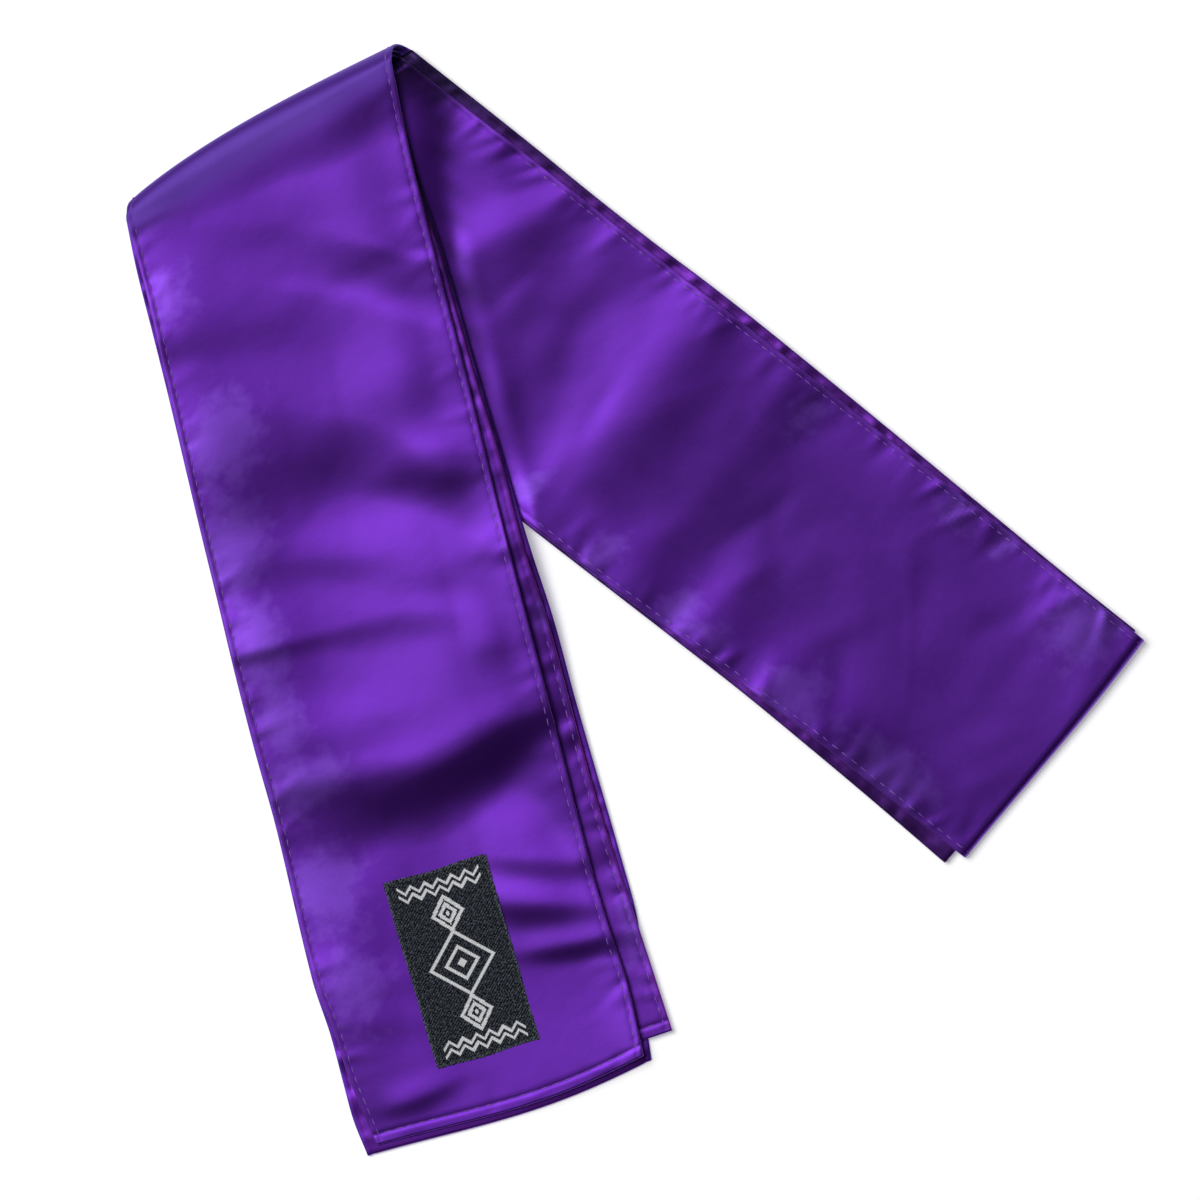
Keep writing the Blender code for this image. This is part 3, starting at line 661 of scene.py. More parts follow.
def half_turn(upper, lower_z, heading, whole=False):
    """Rows that turn from the last row of a pass down to the height lower_z.

    The last row of a whole turn is there too; otherwise the next pass begins with it.
    """
    last = upper.middle[-1]
    radius = (last[:, 2] - lower_z) / 2
    steps = TURN_STEPS if whole else TURN_STEPS - 1
    turn = np.linspace(math.pi / TURN_STEPS, math.pi * steps / TURN_STEPS, steps)[:, None]
    reach = radius * np.sin(turn)
    plan = last[:, :2] + reach[..., None] * direction(heading)
    z = last[:, 2] - radius + radius * np.cos(turn)
    middle = np.concatenate([plan, z[..., None]], axis=2)
    run = upper.run[-1] + turn * radius
    level = [np.broadcast_to(part[-1:], run.shape) for part in (upper.across, upper.inset)]
    return Surface(middle, run, level[0], level[1], np.full(run.shape, FAR))


def folded_pair(limb, sections, end, heights, seeds, bow, rolls=(), bend=STRAIGHT):
    """Two passes joined by a half turn at the limb's end, with their rolls if they have any."""
    upper = flat_pass(limb, sections, end, heights[0], bow=bow, seed=seeds[0],
                      pucker=0.3, pucker_count=110, bend=bend)
    lower = flat_pass(limb, sections, end, heights[1], bow=bow, seed=seeds[1], pucker=0.06)
    nose = half_turn(upper, lower.middle[-1, :, 2], limb.heading)
    parts = [upper, nose, turned_over(lower)]
    if rolls:
        parts.insert(0, slanted_roll(upper, rolls[0]))
        parts.append(turned_over(slanted_roll(lower, rolls[1])))
    return joined(*parts)


# ---------------------------------------------------------------- shells
def rim_factor(distance):
    """Share of the full thickness at a distance from a rounded edge."""
    share = np.clip(distance / RIM_RADIUS, 0.0, 1.0)
    return np.sqrt(np.clip(1.0 - (1.0 - share) ** 2, 0.0, 1.0))


def half_thickness(surface):
    """Rounded at the edges, beaded outside the seams and pinched along them."""
    beat = 0.7 + 0.3 * np.cos(2 * math.pi * surface.run / STITCH_PITCH)
    half = np.full_like(surface.inset, CLOTH / 2)
    half += BEAD * np.exp(-((surface.inset - BEAD_INSET) / BEAD_WIDTH) ** 2)
    half -= SEAM_DEPTH * beat * np.exp(-((surface.inset - STITCH_INSET) / SEAM_WIDTH) ** 2)
    hem = surface.from_hem
    half += BEAD * smooth((HEM_INSET + SEAM_WIDTH - hem) / 0.8)
    half -= HEM_DEPTH * np.exp(-((hem - HEM_INSET) / SEAM_WIDTH) ** 2)
    half = half * rim_factor(surface.inset) * rim_factor(hem)
    half[0] = half[-1] = 0.0
    return half


def surface_normals(middle):
    """Unit normals of a grid of points, upwards where rows run along a limb's top."""
    along = np.gradient(middle, axis=0)
    across = np.gradient(middle, axis=1)
    normal = np.cross(along, across)
    return normal / np.linalg.norm(normal, axis=2, keepdims=True)


def square_ended(surface):
    """Doubles the first and last rows, so that an end without a hem is cut square."""
    middle = surface.middle
    before = middle[0] + (middle[0] - middle[1]) * CUT_STEP
    parts = [np.concatenate([part[:1], part]) for part in surface]
    parts[0][0] = before
    if surface.from_hem[-1, 0] > 0:
        after = middle[-1] + (middle[-1] - middle[-2]) * CUT_STEP
        parts = [np.concatenate([part, part[-1:]]) for part in parts]
        parts[0][-1] = after
    return Surface(*parts)


Faces = namedtuple("Faces", "upper lower")


def faces_at(surface, half):
    """Both faces, half a thickness from the middle surface."""
    reach = surface_normals(surface.middle) * half[..., None]
    return Faces(surface.middle + reach, surface.middle - reach)


def crease_mask(surface):
    """1 over the slanted fold, fading out along the pass; 0 on passes that have no roll."""
    if surface.run.min() >= -PASS:
        return np.zeros_like(surface.run)
    return np.exp(-(np.maximum(surface.run, 0.0) / ROLL_ROUGH_SHEEN_REACH) ** 2)


def spots(surface, places):
    """Soft spots: each one's strength in its middle and 0 away from it."""
    total = np.zeros_like(surface.run)
    for spot in places:
        total += spot.strength * np.exp(-((surface.run - spot.along) / spot.long) ** 2
                                        - ((surface.across - spot.across) / spot.wide) ** 2)
    return total


def shell_object(name, surface, material, slot, *nodes, faces=None, painted_sheen_spots=(), shadows=()):
    """Closed thin shell: both faces share the points of the outline.

    Its UV map "cloth" is the flat cloth, and its masks tell the material where its edges and the
    slanted fold are, and where painted sheen and painted shade go.
    """
    if faces is None:
        surface = square_ended(surface)
        faces = faces_at(surface, half_thickness(surface))
    for face in faces:
        face[..., 2] = np.maximum(face[..., 2], RESTING)
    rows, cols = surface.inset.shape
    inner = np.zeros((rows, cols), bool)
    inner[1:-1, 1:-1] = True
    index_up = np.arange(rows * cols).reshape(rows, cols)
    index_low = index_up.copy()
    index_low[inner] = rows * cols + np.arange(inner.sum())
    points = np.concatenate([faces.upper.reshape(-1, 3), faces.lower[inner]]) * MM
    flat = np.stack([surface.across, surface.run], axis=-1) * MM
    flat = np.concatenate([flat.reshape(-1, 2), flat[inner]])
    masks = {"edge": np.exp(-(surface.inset / BEAD_INSET) ** 2), "crease": crease_mask(surface),
             "painted_sheen": spots(surface, painted_sheen_spots), "shadow": spots(surface, shadows)}

    def quads(index, flip):
        corners = (index[:-1, :-1], index[:-1, 1:], index[1:, 1:], index[1:, :-1])
        corners = corners[::-1] if flip else corners
        return np.stack([corner.ravel() for corner in corners], axis=1)

    quad_list = np.concatenate([quads(index_up, True), quads(index_low, False)])
    mesh = bpy.data.meshes.new(name)
    mesh.from_pydata(points.tolist(), [], quad_list.tolist())
    loops = np.zeros(len(mesh.loops), int)
    mesh.loops.foreach_get("vertex_index", loops)
    layer = mesh.uv_layers.new(name="cloth")
    layer.data.foreach_set("uv", flat[loops].astype(np.float32).ravel())
    for mask, values in masks.items():
        attribute = mesh.attributes.new(mask, "FLOAT", "POINT")
        values = np.concatenate([values.ravel(), values[inner]])
        attribute.data.foreach_set("value", values.astype(np.float32))
    shell = bmesh.new()
    shell.from_mesh(mesh)
    bmesh.ops.recalc_face_normals(shell, faces=shell.faces)
    shell.to_mesh(mesh)
    shell.free()
    mesh.shade_smooth()
    mesh.materials.append(material)
    piece = bpy.data.objects.new(name, mesh)
    bpy.context.scene.collection.objects.link(piece)
    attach(piece, "root")
    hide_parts(*nodes)
    return piece


# ---------------------------------------------------------------- label
def label_offsets(size):
    """Offsets over the label's width or length, close together at its edges."""
    rim = np.array(LABEL_RIM)
    inner = np.linspace(rim[-1], size - rim[-1], round(size))[1:-1]
    return np.concatenate([rim, inner, (size - rim)[::-1]]) - size / 2


def label_surface(height):
    """The label's middle surface, a rectangle on the top pass whose edges wander a little."""
    run, across = np.meshgrid(label_offsets(LABEL_LENGTH), label_offsets(LABEL_WIDTH),
                              indexing="ij")
    wander_right = LABEL_WAVE * (np.sin(run * 0.17 + 0.7) + np.sin(run * 1.63 + 2.0))
    wander_down = LABEL_WAVE * (3.0 * np.sin(across * 0.21 + 1.9) + np.sin(across * 1.7))
    edge_right = (2.0 * across / LABEL_WIDTH) ** 4
    edge_down = (2.0 * run / LABEL_LENGTH) ** 8
    moved_right = across + wander_right * edge_right
    moved_down = run + wander_down * edge_down
    middle = place(FRONT, np.array(LABEL_MIDDLE[0]), np.array(LABEL_MIDDLE[1]))
    plan = (middle + moved_down[..., None] * direction(FRONT.heading + LABEL_TURN)
            + moved_right[..., None] * direction(FRONT.heading + LABEL_TURN + 90.0))
    z = height(plan) + CLOTH / 2 + LABEL_GAP + LABEL_CLOTH / 2
    inset = np.minimum(LABEL_WIDTH / 2 - np.abs(across), LABEL_LENGTH / 2 - np.abs(run))
    points = np.concatenate([plan, z[..., None]], axis=2)
    return Surface(points, run, across, inset, np.full_like(run, FAR))


def label_faces(surface):
    """Flat woven faces, pinched under each border stitch."""
    half = np.full_like(surface.inset, LABEL_CLOTH / 2)
    from_seam = surface.inset - LABEL_RIM[LABEL_STITCH_COLUMN]
    half -= LABEL_SEAM_DEPTH * np.exp(-(from_seam / LABEL_SEAM_WIDTH) ** 2)
    return faces_at(surface, half * rim_factor(surface.inset))


# ---------------------------------------------------------------- sewing
def deselect():
    bpy.ops.object.select_all(action="DESELECT")


def modelled_stitch():
    """One stitch, a thread whose ends dip into the cloth, modelled at unit length."""
    deselect()
    bpy.ops.mesh.primitive_uv_sphere_add(segments=6, ring_count=6, radius=0.5)
    stitch = bpy.context.object
    bpy.ops.object.mode_set(mode="EDIT")
    bpy.ops.mesh.select_all(action="SELECT")
    bpy.ops.transform.rotate(value=math.pi / 2, orient_axis="Y", center_override=(0, 0, 0))
    bpy.ops.object.mode_set(mode="OBJECT")
    points = np.array([vertex.co for vertex in stitch.data.vertices])
    faces = [tuple(face.vertices) for face in stitch.data.polygons]
    bpy.data.objects.remove(stitch, do_unlink=True)
    return points, faces


def sewn_rows(name, seams, material, seed, length=STITCH_LENGTH, pitch=STITCH_PITCH,
              width=STITCH_WIDTH, height=STITCH_HEIGHT, turned=0.0):
    """Joined mesh of the stitches along seams, each a list of points, normals and run.

    A stitch arches: its middle stands on the cloth and its ends dip in.
    """
    unit, faces = modelled_stitch()
    rng = np.random.default_rng(seed)
    points = []
    polygons = []
    for place_on, normal, run in seams:
        centres = (np.arange(math.ceil(run[0] / pitch), math.floor(run[-1] / pitch)) + 0.5) * pitch

        def at(values, where):
            return np.stack([np.interp(where, run, values[:, i]) for i in range(3)], axis=1)

        middle = at(place_on, centres)
        ahead = at(place_on, centres + 0.5) - at(place_on, centres - 0.5)
        ahead /= np.linalg.norm(ahead, axis=1, keepdims=True)
        up = at(normal, centres)
        up -= (up * ahead).sum(axis=1, keepdims=True) * ahead
        up /= np.linalg.norm(up, axis=1, keepdims=True)
        side = np.cross(up, ahead)
        for m, a, u, s in zip(middle, ahead, up, side):
            turn = turned + rng.normal(0.0, 0.05)
            a, s = a * math.cos(turn) + s * math.sin(turn), s * math.cos(turn) - a * math.sin(turn)
            size = length * rng.uniform(0.88, 1.06)
            lie = height * (0.55 - 4.4 * unit[:, 0] ** 2) + unit[:, 2] * height
            stitch = (m + np.outer(unit[:, 0] * size, a) + np.outer(unit[:, 1] * width, s)
                      + np.outer(lie, u))
            polygons += [tuple(i + len(points) * len(unit) for i in face) for face in faces]
            points.append(stitch)
    mesh = bpy.data.meshes.new(name)
    mesh.from_pydata((np.concatenate(points) * MM).tolist(), [], polygons)
    mesh.shade_smooth()
    mesh.materials.append(material)
    piece = bpy.data.objects.new(name, mesh)
    bpy.context.scene.collection.objects.link(piece)
    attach(piece, "root")
    return piece


def seam(surface, faces, cells, run, under=False):
    """Points, normals and run of a seam through some cells of a surface's grid."""
    normal = surface_normals(surface.middle)[cells]
    if under:
        return faces.lower[cells], -normal, run[cells]
    return faces.upper[cells], normal, run[cells]


def seam_along(surface, column, under=False, rows=slice(None)):
    """Seam down a column of a surface, on its upper or lower face, away from the roll."""
    faces = faces_at(surface, half_thickness(surface))
    parts = seam(surface, faces, (rows, column), surface.run, under)
    return parts if parts[2][0] < parts[2][-1] else tuple(part[::-1] for part in parts)


def seam_across(surface, row):
    """Seam along a row of a surface, between its two edge rows."""
    faces = faces_at(surface, half_thickness(surface))
    return seam(surface, faces, (row, slice(STITCH_COLUMN, -STITCH_COLUMN)), surface.across)


def label_seams(surface, faces):
    """The four border seams, inside each edge of the label."""
    sides = (LABEL_STITCH_COLUMN, -1 - LABEL_STITCH_COLUMN)
    within = slice(sides[0], sides[1] + 1)
    return ([seam(surface, faces, (within, side), surface.run) for side in sides]
            + [seam(surface, faces, (side, within), surface.across) for side in sides])


# ---------------------------------------------------------------- materials
def new_material(name):
    material = bpy.data.materials.new(name)
    material.use_nodes = True
    return material, material.node_tree, material.node_tree.nodes["Principled BSDF"]


def add_node(tree, kind, inputs=None, **settings):
    """A node whose inputs are values, or sockets to link from."""
    node = tree.nodes.new(kind)
    for name, value in settings.items():
        setattr(node, name, value)
    for name, value in (inputs or {}).items():
        if isinstance(value, bpy.types.NodeSocket):
            tree.links.new(value, node.inputs[name])
        else:
            node.inputs[name].default_value = value
    return node


def maths(tree, operation, *values):
    return add_node(tree, "ShaderNodeMath", dict(enumerate(values)),
                    operation=operation).outputs[0]


def colour_between(tree, mask, first, second):
    """The first colour where the mask is 0 and the second where it is 1."""
    mix = add_node(tree, "ShaderNodeMix", {"Factor": mask}, data_type="RGBA")
    for socket, colour in (("A", first), ("B", second)):
        target = [s for s in mix.inputs if s.name == socket and s.type == "RGBA"][0]
        if isinstance(colour, bpy.types.NodeSocket):
            tree.links.new(colour, target)
        else:
            target.default_value = colour
    return [s for s in mix.outputs if s.type == "RGBA"][0]


def new_group(name, values, outputs):
    """Shader node group that takes the place on the cloth and some values."""
    group = bpy.data.node_groups.new(name, "ShaderNodeTree")
    group.interface.new_socket("Cloth", in_out="INPUT", socket_type="NodeSocketVector")
    for socket, value in values.items():
        made = group.interface.new_socket(socket, in_out="INPUT", socket_type="NodeSocketFloat")
        made.default_value = value
    for socket in outputs:
        group.interface.new_socket(socket, in_out="OUTPUT", socket_type="NodeSocketFloat")
    return (group, group.nodes.new("NodeGroupInput").outputs,
            group.nodes.new("NodeGroupOutput").inputs)


def place_group(tree, group, inputs):
    return add_node(tree, "ShaderNodeGroup", inputs, node_tree=group).outputs


def painted(tree, mask):
    """A mask of the mesh: where its edges, creases, painted sheen and painted shade are."""
    return add_node(tree, "ShaderNodeAttribute", attribute_name=mask).outputs["Fac"]


def millimetres(group, vector, x_scale=1.0, y_scale=1.0):
    """A vector in metres as lengths in millimetres, stretched along x and y."""
    scale = (x_scale / MM, y_scale / MM, 1.0 / MM)
    return add_node(group, "ShaderNodeVectorMath", {0: vector, 1: scale},
                    operation="MULTIPLY").outputs[0]


def noise(group, vector, detail):
    return add_node(group, "ShaderNodeTexNoise",
                    {"Vector": vector, "Scale": 1.0, "Detail": detail}).outputs["Fac"]


def float_threads_group():
    """Long satin floats that run along the band, and how they catch each other."""
    group, given, out = new_group("satin_floats", {"Threads per mm": 5.0, "Float length mm": 1.6},
                                  ("Height", "Streaks"))
    threads = millimetres(group, given["Cloth"])
    along = maths(group, "DIVIDE", 1.0, given["Float length mm"])
    stretch = add_node(group, "ShaderNodeCombineXYZ",
                       {"X": given["Threads per mm"], "Y": along, "Z": 1.0}).outputs[0]
    laid = add_node(group, "ShaderNodeVectorMath", {0: threads, 1: stretch},
                    operation="MULTIPLY").outputs[0]
    fine = noise(group, laid, 1.0)
    broad = noise(group, millimetres(group, given["Cloth"], 0.55, 0.018), 3.0)
    group.links.new(fine, out["Height"])
    group.links.new(broad, out["Streaks"])
    return group


def soft_mottle_group():
    """Broad uneven patches, as pressing and handling leave on cloth."""
    group, given, out = new_group("soft_mottle", {"Patch mm": 20.0, "Contrast": 1.0},
                                  ("Mask", "Height"))
    base = millimetres(group, given["Cloth"])
    patch = add_node(group, "ShaderNodeVectorMath", {0: base}, operation="SCALE")
    group.links.new(maths(group, "DIVIDE", 1.0, given["Patch mm"]), patch.inputs["Scale"])
    value = noise(group, patch.outputs[0], 3.0)
    centred = maths(group, "SUBTRACT", value, 0.5)
    mask = add_node(group, "ShaderNodeClamp", {
        "Value": maths(group, "MULTIPLY_ADD", centred, given["Contrast"], 0.5)}).outputs[0]
    group.links.new(mask, out["Mask"])
    group.links.new(value, out["Height"])
    return group


def satin_material(satin, groups):
    """Satin: floats along the band spread the gloss across it; `rim` is painted at the bare edges,
    a painted edge highlight (painted shade on the shaded satin), and painted sheen and painted
    shade come in through the masks.
    """
    material, tree, shader = new_material(satin.name)
    cloth = add_node(tree, "ShaderNodeUVMap", uv_map="cloth").outputs["UV"]
    floats = place_group(tree, groups["floats"], {"Cloth": cloth})
    mottle = place_group(tree, groups["mottle"], {"Cloth": cloth, "Patch mm": 16.0,
                                                  "Contrast": 2.2})
    tone = maths(tree, "ADD", maths(tree, "MULTIPLY", mottle["Mask"], 0.65),
                 maths(tree, "MULTIPLY", floats["Streaks"], 0.35))
    colour = colour_between(tree, tone, satin.deep, satin.light)
    # the bare edges: a painted edge highlight, and painted shade on the shaded satin
    rim = maths(tree, "MULTIPLY", painted(tree, "edge"), satin.rim_amount)
    colour = colour_between(tree, rim, colour, satin.rim)
    # painted sheen: pale patches with ragged edges
    ragged = noise(tree, millimetres(tree, cloth, 0.16, 0.16), 4.0)
    ragged = maths(tree, "MULTIPLY_ADD", ragged, 1.1, -0.55)
    painted_sheen = maths(tree, "ADD", painted(tree, "painted_sheen"), ragged)
    painted_sheen = maths(tree, "MULTIPLY", maths(tree, "SUBTRACT", painted_sheen, 0.25), 2.2)
    painted_sheen = add_node(tree, "ShaderNodeClamp", {"Value": painted_sheen}).outputs[0]
    colour = colour_between(tree, painted_sheen, colour, PAINTED_SHEEN_COLOUR)
    # over the slanted fold the colour takes a greyer painted sheen, and the roughness rises below
    crease = painted(tree, "crease")
    colour = colour_between(tree, crease, colour, ROLL_PAINTED_SHEEN_COLOUR)
    # painted shade where the shadow mask is
    colour = colour_between(tree, painted(tree, "shadow"), colour, SHADOW_COLOUR)
    tree.links.new(colour, shader.inputs["Base Color"])
    dull = maths(tree, "MULTIPLY_ADD", mottle["Mask"], 0.05, SATIN_ROUGHNESS)
    rough = maths(tree, "MULTIPLY_ADD", floats["Streaks"], 0.03, dull)
    rough = maths(tree, "MULTIPLY_ADD", crease, DULL_ROUGHNESS, rough)
    tree.links.new(rough, shader.inputs["Roughness"])
    for name, value in SATIN_GLOSS.items():
        shader.inputs[name].default_value = value
    tangent = add_node(tree, "ShaderNodeTangent", direction_type="UV_MAP", uv_map="cloth")
    tree.links.new(tangent.outputs["Tangent"], shader.inputs["Tangent"])
    crumple = add_node(tree, "ShaderNodeBump", {"Height": mottle["Height"],
                                                "Distance": 0.0005, "Strength": 0.2})
    weave = add_node(tree, "ShaderNodeBump", {
        "Height": floats["Height"], "Distance": 0.00003, "Strength": 0.6,
        "Normal": crumple.outputs["Normal"]})
    tree.links.new(weave.outputs["Normal"], shader.inputs["Normal"])
    return material


def thread_material(name, groups, tones, roughness):
    """Sewing thread: two plies twisted together."""
    material, tree, shader = new_material(name)
    where = add_node(tree, "ShaderNodeTexCoord").outputs["Object"]
    mottle = place_group(tree, groups["mottle"], {"Cloth": where, "Patch mm": 2.4,
                                                  "Contrast": 2.5})
    tree.links.new(colour_between(tree, mottle["Mask"], *tones), shader.inputs["Base Color"])
    twist = add_node(tree, "ShaderNodeTexWave", {
        "Vector": millimetres(tree, where), "Scale": 0.55}, bands_direction="DIAGONAL")
    bump = add_node(tree, "ShaderNodeBump", {"Height": twist.outputs["Fac"],
                                             "Distance": 0.00008, "Strength": 0.6})
    tree.links.new(bump.outputs["Normal"], shader.inputs["Normal"])
    rough = maths(tree, "MULTIPLY_ADD", mottle["Mask"], 0.15, roughness)
    tree.links.new(rough, shader.inputs["Roughness"])
    return material


def motif_mask(tree, right, down):
    """Lozenges and zigzags: 1 on their lines and 0 beside them."""
    def below(value, limit):
        return maths(tree, "LESS_THAN", value, limit)

    side = maths(tree, "ABSOLUTE", right)
    masks = []
    for lozenge in LABEL_LOZENGES:
        level = maths(tree, "ABSOLUTE", maths(tree, "SUBTRACT", down, lozenge.at))
        reach = maths(tree, "ADD", maths(tree, "DIVIDE", side, lozenge.wide),
                      maths(tree, "DIVIDE", level, lozenge.high))
        for outline in (1.0, 0.52):
            gap = maths(tree, "ABSOLUTE", maths(tree, "SUBTRACT", reach, outline))
            masks.append(below(maths(tree, "MULTIPLY", gap, lozenge.wide), MOTIF_LINE * 1.25))
        masks.append(below(reach, 0.16))
    wave = maths(tree, "PINGPONG", right, ZIGZAG_PITCH / 2)
    wave = maths(tree, "MULTIPLY", wave, 2.0 * ZIGZAG_HEIGHT / ZIGZAG_PITCH)
    level = maths(tree, "SUBTRACT", maths(tree, "ABSOLUTE", down), ZIGZAG_AT)
    inside = below(side, ZIGZAG_REACH)
    for shift in (-1.4, 1.4):
        line = maths(tree, "ADD", level, maths(tree, "SUBTRACT", wave, ZIGZAG_HEIGHT / 2 + shift))
        masks.append(maths(tree, "MULTIPLY", below(maths(tree, "ABSOLUTE", line), MOTIF_LINE),
                           inside))
    total = masks[0]
    for mask in masks[1:]:
        total = maths(tree, "MAXIMUM", total, mask)
    return total


def label_material(groups):
    """Charcoal twill with silver-grey motifs woven in."""
    material, tree, shader = new_material("label_twill")
    shader.inputs["Specular IOR Level"].default_value = 0.05
    cloth = add_node(tree, "ShaderNodeUVMap", uv_map="cloth").outputs["UV"]
    split = add_node(tree, "ShaderNodeSeparateXYZ",
                     {"Vector": millimetres(tree, cloth)}).outputs
    right, down = split["X"], split["Y"]
    mottle = place_group(tree, groups["mottle"], {"Cloth": cloth, "Patch mm": 5.0,
                                                  "Contrast": 2.0})
    grain = noise(tree, millimetres(tree, cloth), 3.0)
    fine = noise(tree, millimetres(tree, cloth, 2.6, 1.7), 2.0)
    wale = maths(tree, "SINE", maths(tree, "MULTIPLY", maths(tree, "ADD", right, down),
                                     2.0 * math.pi / LABEL_WALE))
    weft = maths(tree, "SINE", maths(tree, "MULTIPLY", down, 2.0 * math.pi / LABEL_THREAD))
    twill = maths(tree, "MULTIPLY_ADD", wale, 0.5, 0.5)
    patchy = maths(tree, "MULTIPLY_ADD", grain, 1.6, maths(tree, "MULTIPLY", fine, 2.4))
    broken = maths(tree, "MULTIPLY_ADD", twill, 0.4, maths(tree, "SUBTRACT", patchy, 1.77))
    tone = maths(tree, "MULTIPLY", broken,
                 maths(tree, "MULTIPLY_ADD", painted(tree, "edge"), 0.6, 1.0))
    tone = maths(tree, "MULTIPLY", tone, tone)
    ground = colour_between(tree, tone, *TWILL)
    glint = maths(tree, "MULTIPLY_ADD", fine, 1.9, -0.35)
    silver = colour_between(tree, glint, *SILVER)
    stepped = [maths(tree, "SNAP", value, LABEL_THREAD) for value in (right, down)]
    motif = motif_mask(tree, *stepped)
    tree.links.new(colour_between(tree, motif, ground, silver), shader.inputs["Base Color"])
    rough = maths(tree, "MULTIPLY_ADD", motif, -0.2, 0.75)
    tree.links.new(maths(tree, "MULTIPLY_ADD", mottle["Mask"], 0.08, rough),
                   shader.inputs["Roughness"])
    raised = maths(tree, "ADD", maths(tree, "MULTIPLY", twill, 0.6),
                   maths(tree, "MULTIPLY_ADD", weft, 0.25, motif))
    bump = add_node(tree, "ShaderNodeBump", {"Height": raised, "Distance": 0.0001,
                                             "Strength": 0.8})
    tree.links.new(bump.outputs["Normal"], shader.inputs["Normal"])
    return material


def floor_material():
    """Matt white that glows a little, so that it stays pale."""
    material, _, shader = new_material("floor_white")
    shader.inputs["Base Color"].default_value = FLOOR_WHITE
    shader.inputs["Roughness"].default_value = 0.9
    shader.inputs["Emission Color"].default_value = (1.0, 1.0, 1.0, 1.0)
    shader.inputs["Emission Strength"].default_value = FLOOR_GLOW
    return material


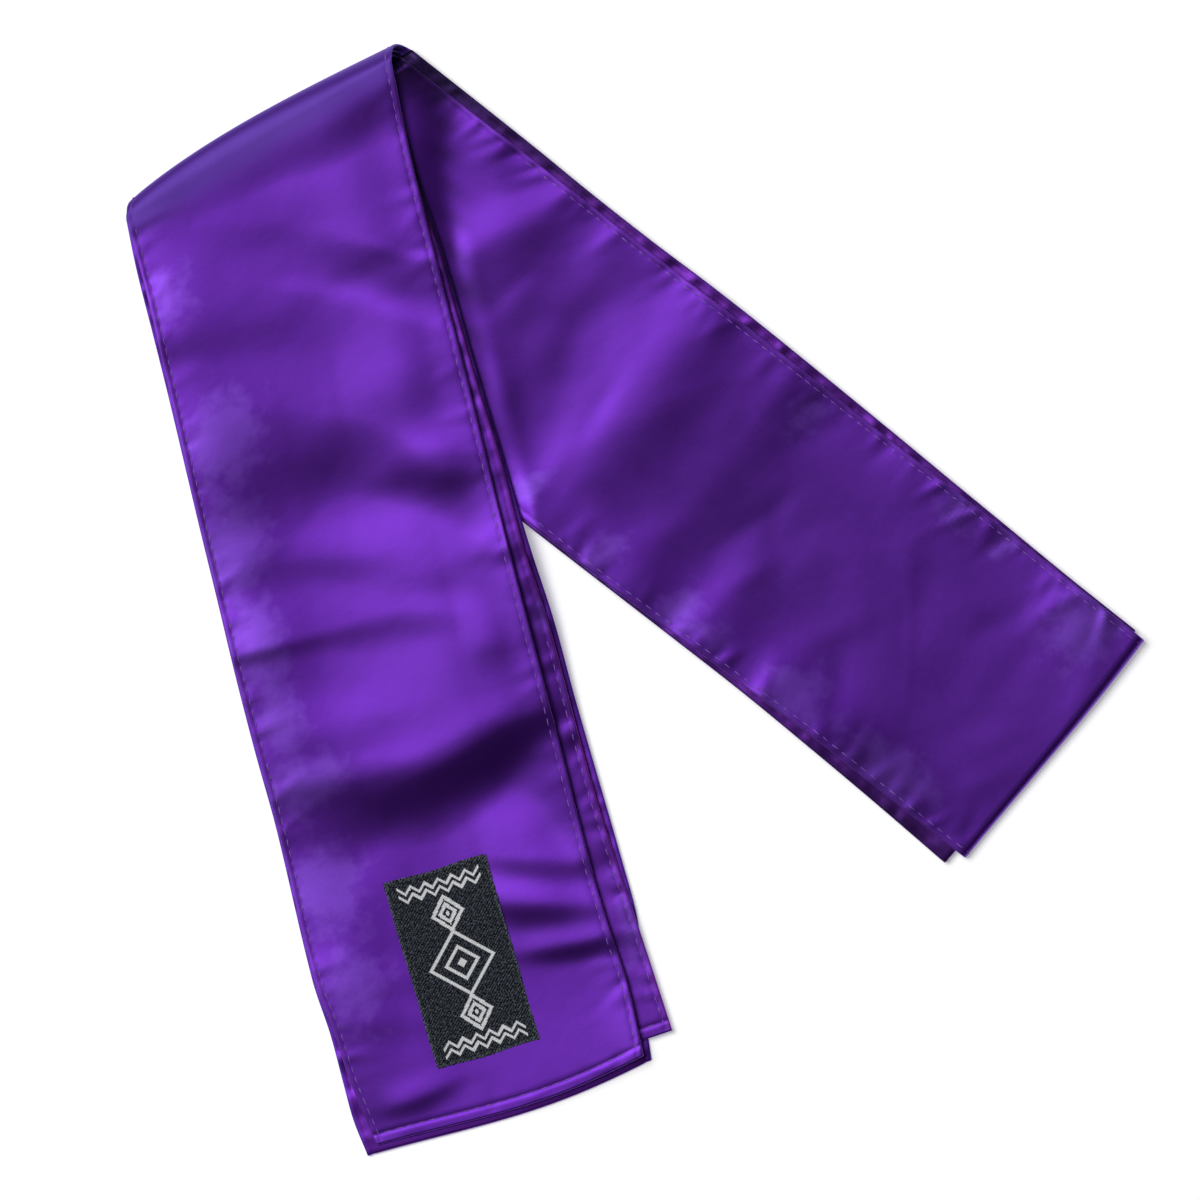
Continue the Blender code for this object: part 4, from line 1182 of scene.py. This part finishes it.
# ---------------------------------------------------------------- pieces
def build():
    groups = {"floats": float_threads_group(), "mottle": soft_mottle_group()}
    satin, second_satin, under, shaded = (
        satin_material(satin_tones_and_shade, groups)
        for satin_tones_and_shade in (SHOWN_SATIN, SECOND_SATIN, UNDER_SATIN, SHADED_SATIN))
    thread = thread_material("lilac_thread", groups, LILAC, 0.5)
    black_thread = thread_material("black_thread", groups, BLACK, 0.6)

    top = flat_pass(FRONT, FRONT_TOP, FRONT.length, front_height(0), hemmed=True,
                    bow=HEM_FULLNESS, inner=SHOWN_COLUMNS, seed=11, pucker=0.16, bend=FRONT_BEND)
    top = joined(slanted_roll(top, 0), top)
    top_piece = shell_object("front_top_satin", top, satin, "satin", "front_top_stretch",
                             painted_sheen_spots=FRONT_PAINTED_SHEEN)

    second = flat_pass(FRONT, FRONT_SECOND, SECOND_END, front_height(1), hemmed=True, seed=21,
                       pucker=0.28, pucker_count=120, bend=SECOND_BEND)
    second = joined(slanted_roll(second, 1), second)
    second_piece = shell_object("front_second_satin", second, second_satin, "satin",
                                "front_second_stretch", painted_sheen_spots=SECOND_PAINTED_SHEEN,
                                shadows=SECOND_SHADOWS)

    lower = folded_pair(FRONT, FRONT_LOWER, LOWER_FRONT_END,
                        (front_height(2), front_height(3)), (31, 35), HEM_FULLNESS, (2, 3),
                        bend=NOSE_BEND)
    lower_piece = shell_object("front_lower_satin", lower, under, "satin_edges",
                               "front_lower_fold", shadows=FRONT_LOWER_SHADOWS)

    back = flat_pass(BACK, BACK_TOP, BACK.length, back_height(0), bow=BACK_FULLNESS,
                     inner=SHOWN_COLUMNS, seed=41, pucker=0.26, pucker_count=90, bend=BACK_BEND)
    fold = half_turn(back, np.full(back.across.shape[1], WALL / 2), BACK.heading, whole=True)
    back = joined(back, fold)
    back_piece = shell_object("back_top_satin", back, satin, "satin", "back_top_stretch",
                              painted_sheen_spots=BACK_PAINTED_SHEEN, shadows=BACK_SHADOWS)

    inner = folded_pair(BACK, BACK_LOWER, LOWER_BACK_END,
                        (back_height(1), back_height(2)), (51, 55), BACK_FULLNESS)
    middle_piece = shell_object("back_middle_satin", inner, shaded, "satin_edges",
                                "back_lower_fold", shadows=BACK_LOWER_SHADOWS)

    bottom = flat_pass(BACK, BACK_TOP, BACK.length, back_height(3), bow=BACK_FULLNESS,
                       seed=61, pucker=0.06)
    bottom_piece = shell_object("back_bottom_satin", bottom, under, "satin_edges",
                                "back_lower_fold")

    edges = [seam_along(top, column) for column in EDGE_COLUMNS]
    edges.append(seam_across(top, -1 - HEM_ROW))
    front_sewing = sewn_rows("front_stitches", edges, thread, 3)
    edges = [seam_along(second, -1 - STITCH_COLUMN, rows=slice(SUNK_ROWS_OF_SECOND, None)),
             seam_across(second, -1 - HEM_ROW)]
    second_sewing = sewn_rows("second_stitches", edges, thread, 6)
    edges = [seam_along(back, STITCH_COLUMN),
             seam_along(back, -1 - STITCH_COLUMN, rows=slice(SUNK_ROWS_OF_BACK, None))]
    back_sewing = sewn_rows("back_stitches", edges, thread, 4)
    below = slice(-ROLL_ROWS - len(row_stations(LOWER_FRONT_END, False)), -ROLL_ROWS)
    edges = [seam_along(lower, column, rows=below) for column in EDGE_COLUMNS]
    lower_sewing = sewn_rows("front_under_stitches", edges, thread, 7,
                             height=UNDER_STITCH)
    edges = [seam_along(bottom, column, under=True) for column in EDGE_COLUMNS]
    bottom_sewing = sewn_rows("back_under_stitches", edges, thread, 8,
                              height=UNDER_STITCH)

    label = label_surface(front_height(0))
    faces = label_faces(label)
    label_piece = shell_object("label_cloth", label, label_material(groups), "label_cloth",
                               "woven_label", faces=faces)
    label_sewing = sewn_rows("label_stitches", label_seams(label, faces), black_thread,
                             5, length=LABEL_STITCH_LENGTH,
                             pitch=LABEL_STITCH_PITCH, width=LABEL_STITCH_WIDTH,
                             turned=LABEL_STITCH_TURN)


def stage():
    deselect()
    bpy.ops.mesh.primitive_plane_add(size=FLOOR_SIZE, location=(0.0, 0.0, 0.0))
    floor = bpy.context.object
    floor.name = "studio_floor"
    floor.data.materials.append(floor_material())
    world = bpy.data.worlds.new("studio")
    bpy.context.scene.world = world
    world.use_nodes = True
    background = world.node_tree.nodes["Background"]
    background.inputs["Color"].default_value = (1.0, 1.0, 1.0, 1.0)
    background.inputs["Strength"].default_value = WORLD_STRENGTH


def key_light():
    """One large soft light, aimed at the middle of the sash."""
    light = bpy.data.lights.new("key", "AREA")
    light.size = KEY_SIZE
    light.energy = KEY_POWER
    lamp = bpy.data.objects.new("key", light)
    lamp.location = KEY_PLACE
    lamp.rotation_euler = (-Vector(KEY_PLACE)).to_track_quat("-Z", "Y").to_euler()
    bpy.context.scene.collection.objects.link(lamp)


def camera():
    """Looks straight down from far away, so that nothing is foreshortened."""
    data = bpy.data.cameras.new("overhead")
    data.lens = LENS
    data.sensor_width = SENSOR
    eye = bpy.data.objects.new("overhead", data)
    eye.location = (*SEEN_MIDDLE, SEEN_WIDTH * LENS / SENSOR)
    data.clip_end = 20.0
    bpy.context.scene.collection.objects.link(eye)
    bpy.context.scene.camera = eye


camera()
stage()
key_light()
bpy.context.scene.view_settings.view_transform = "Standard"
build()
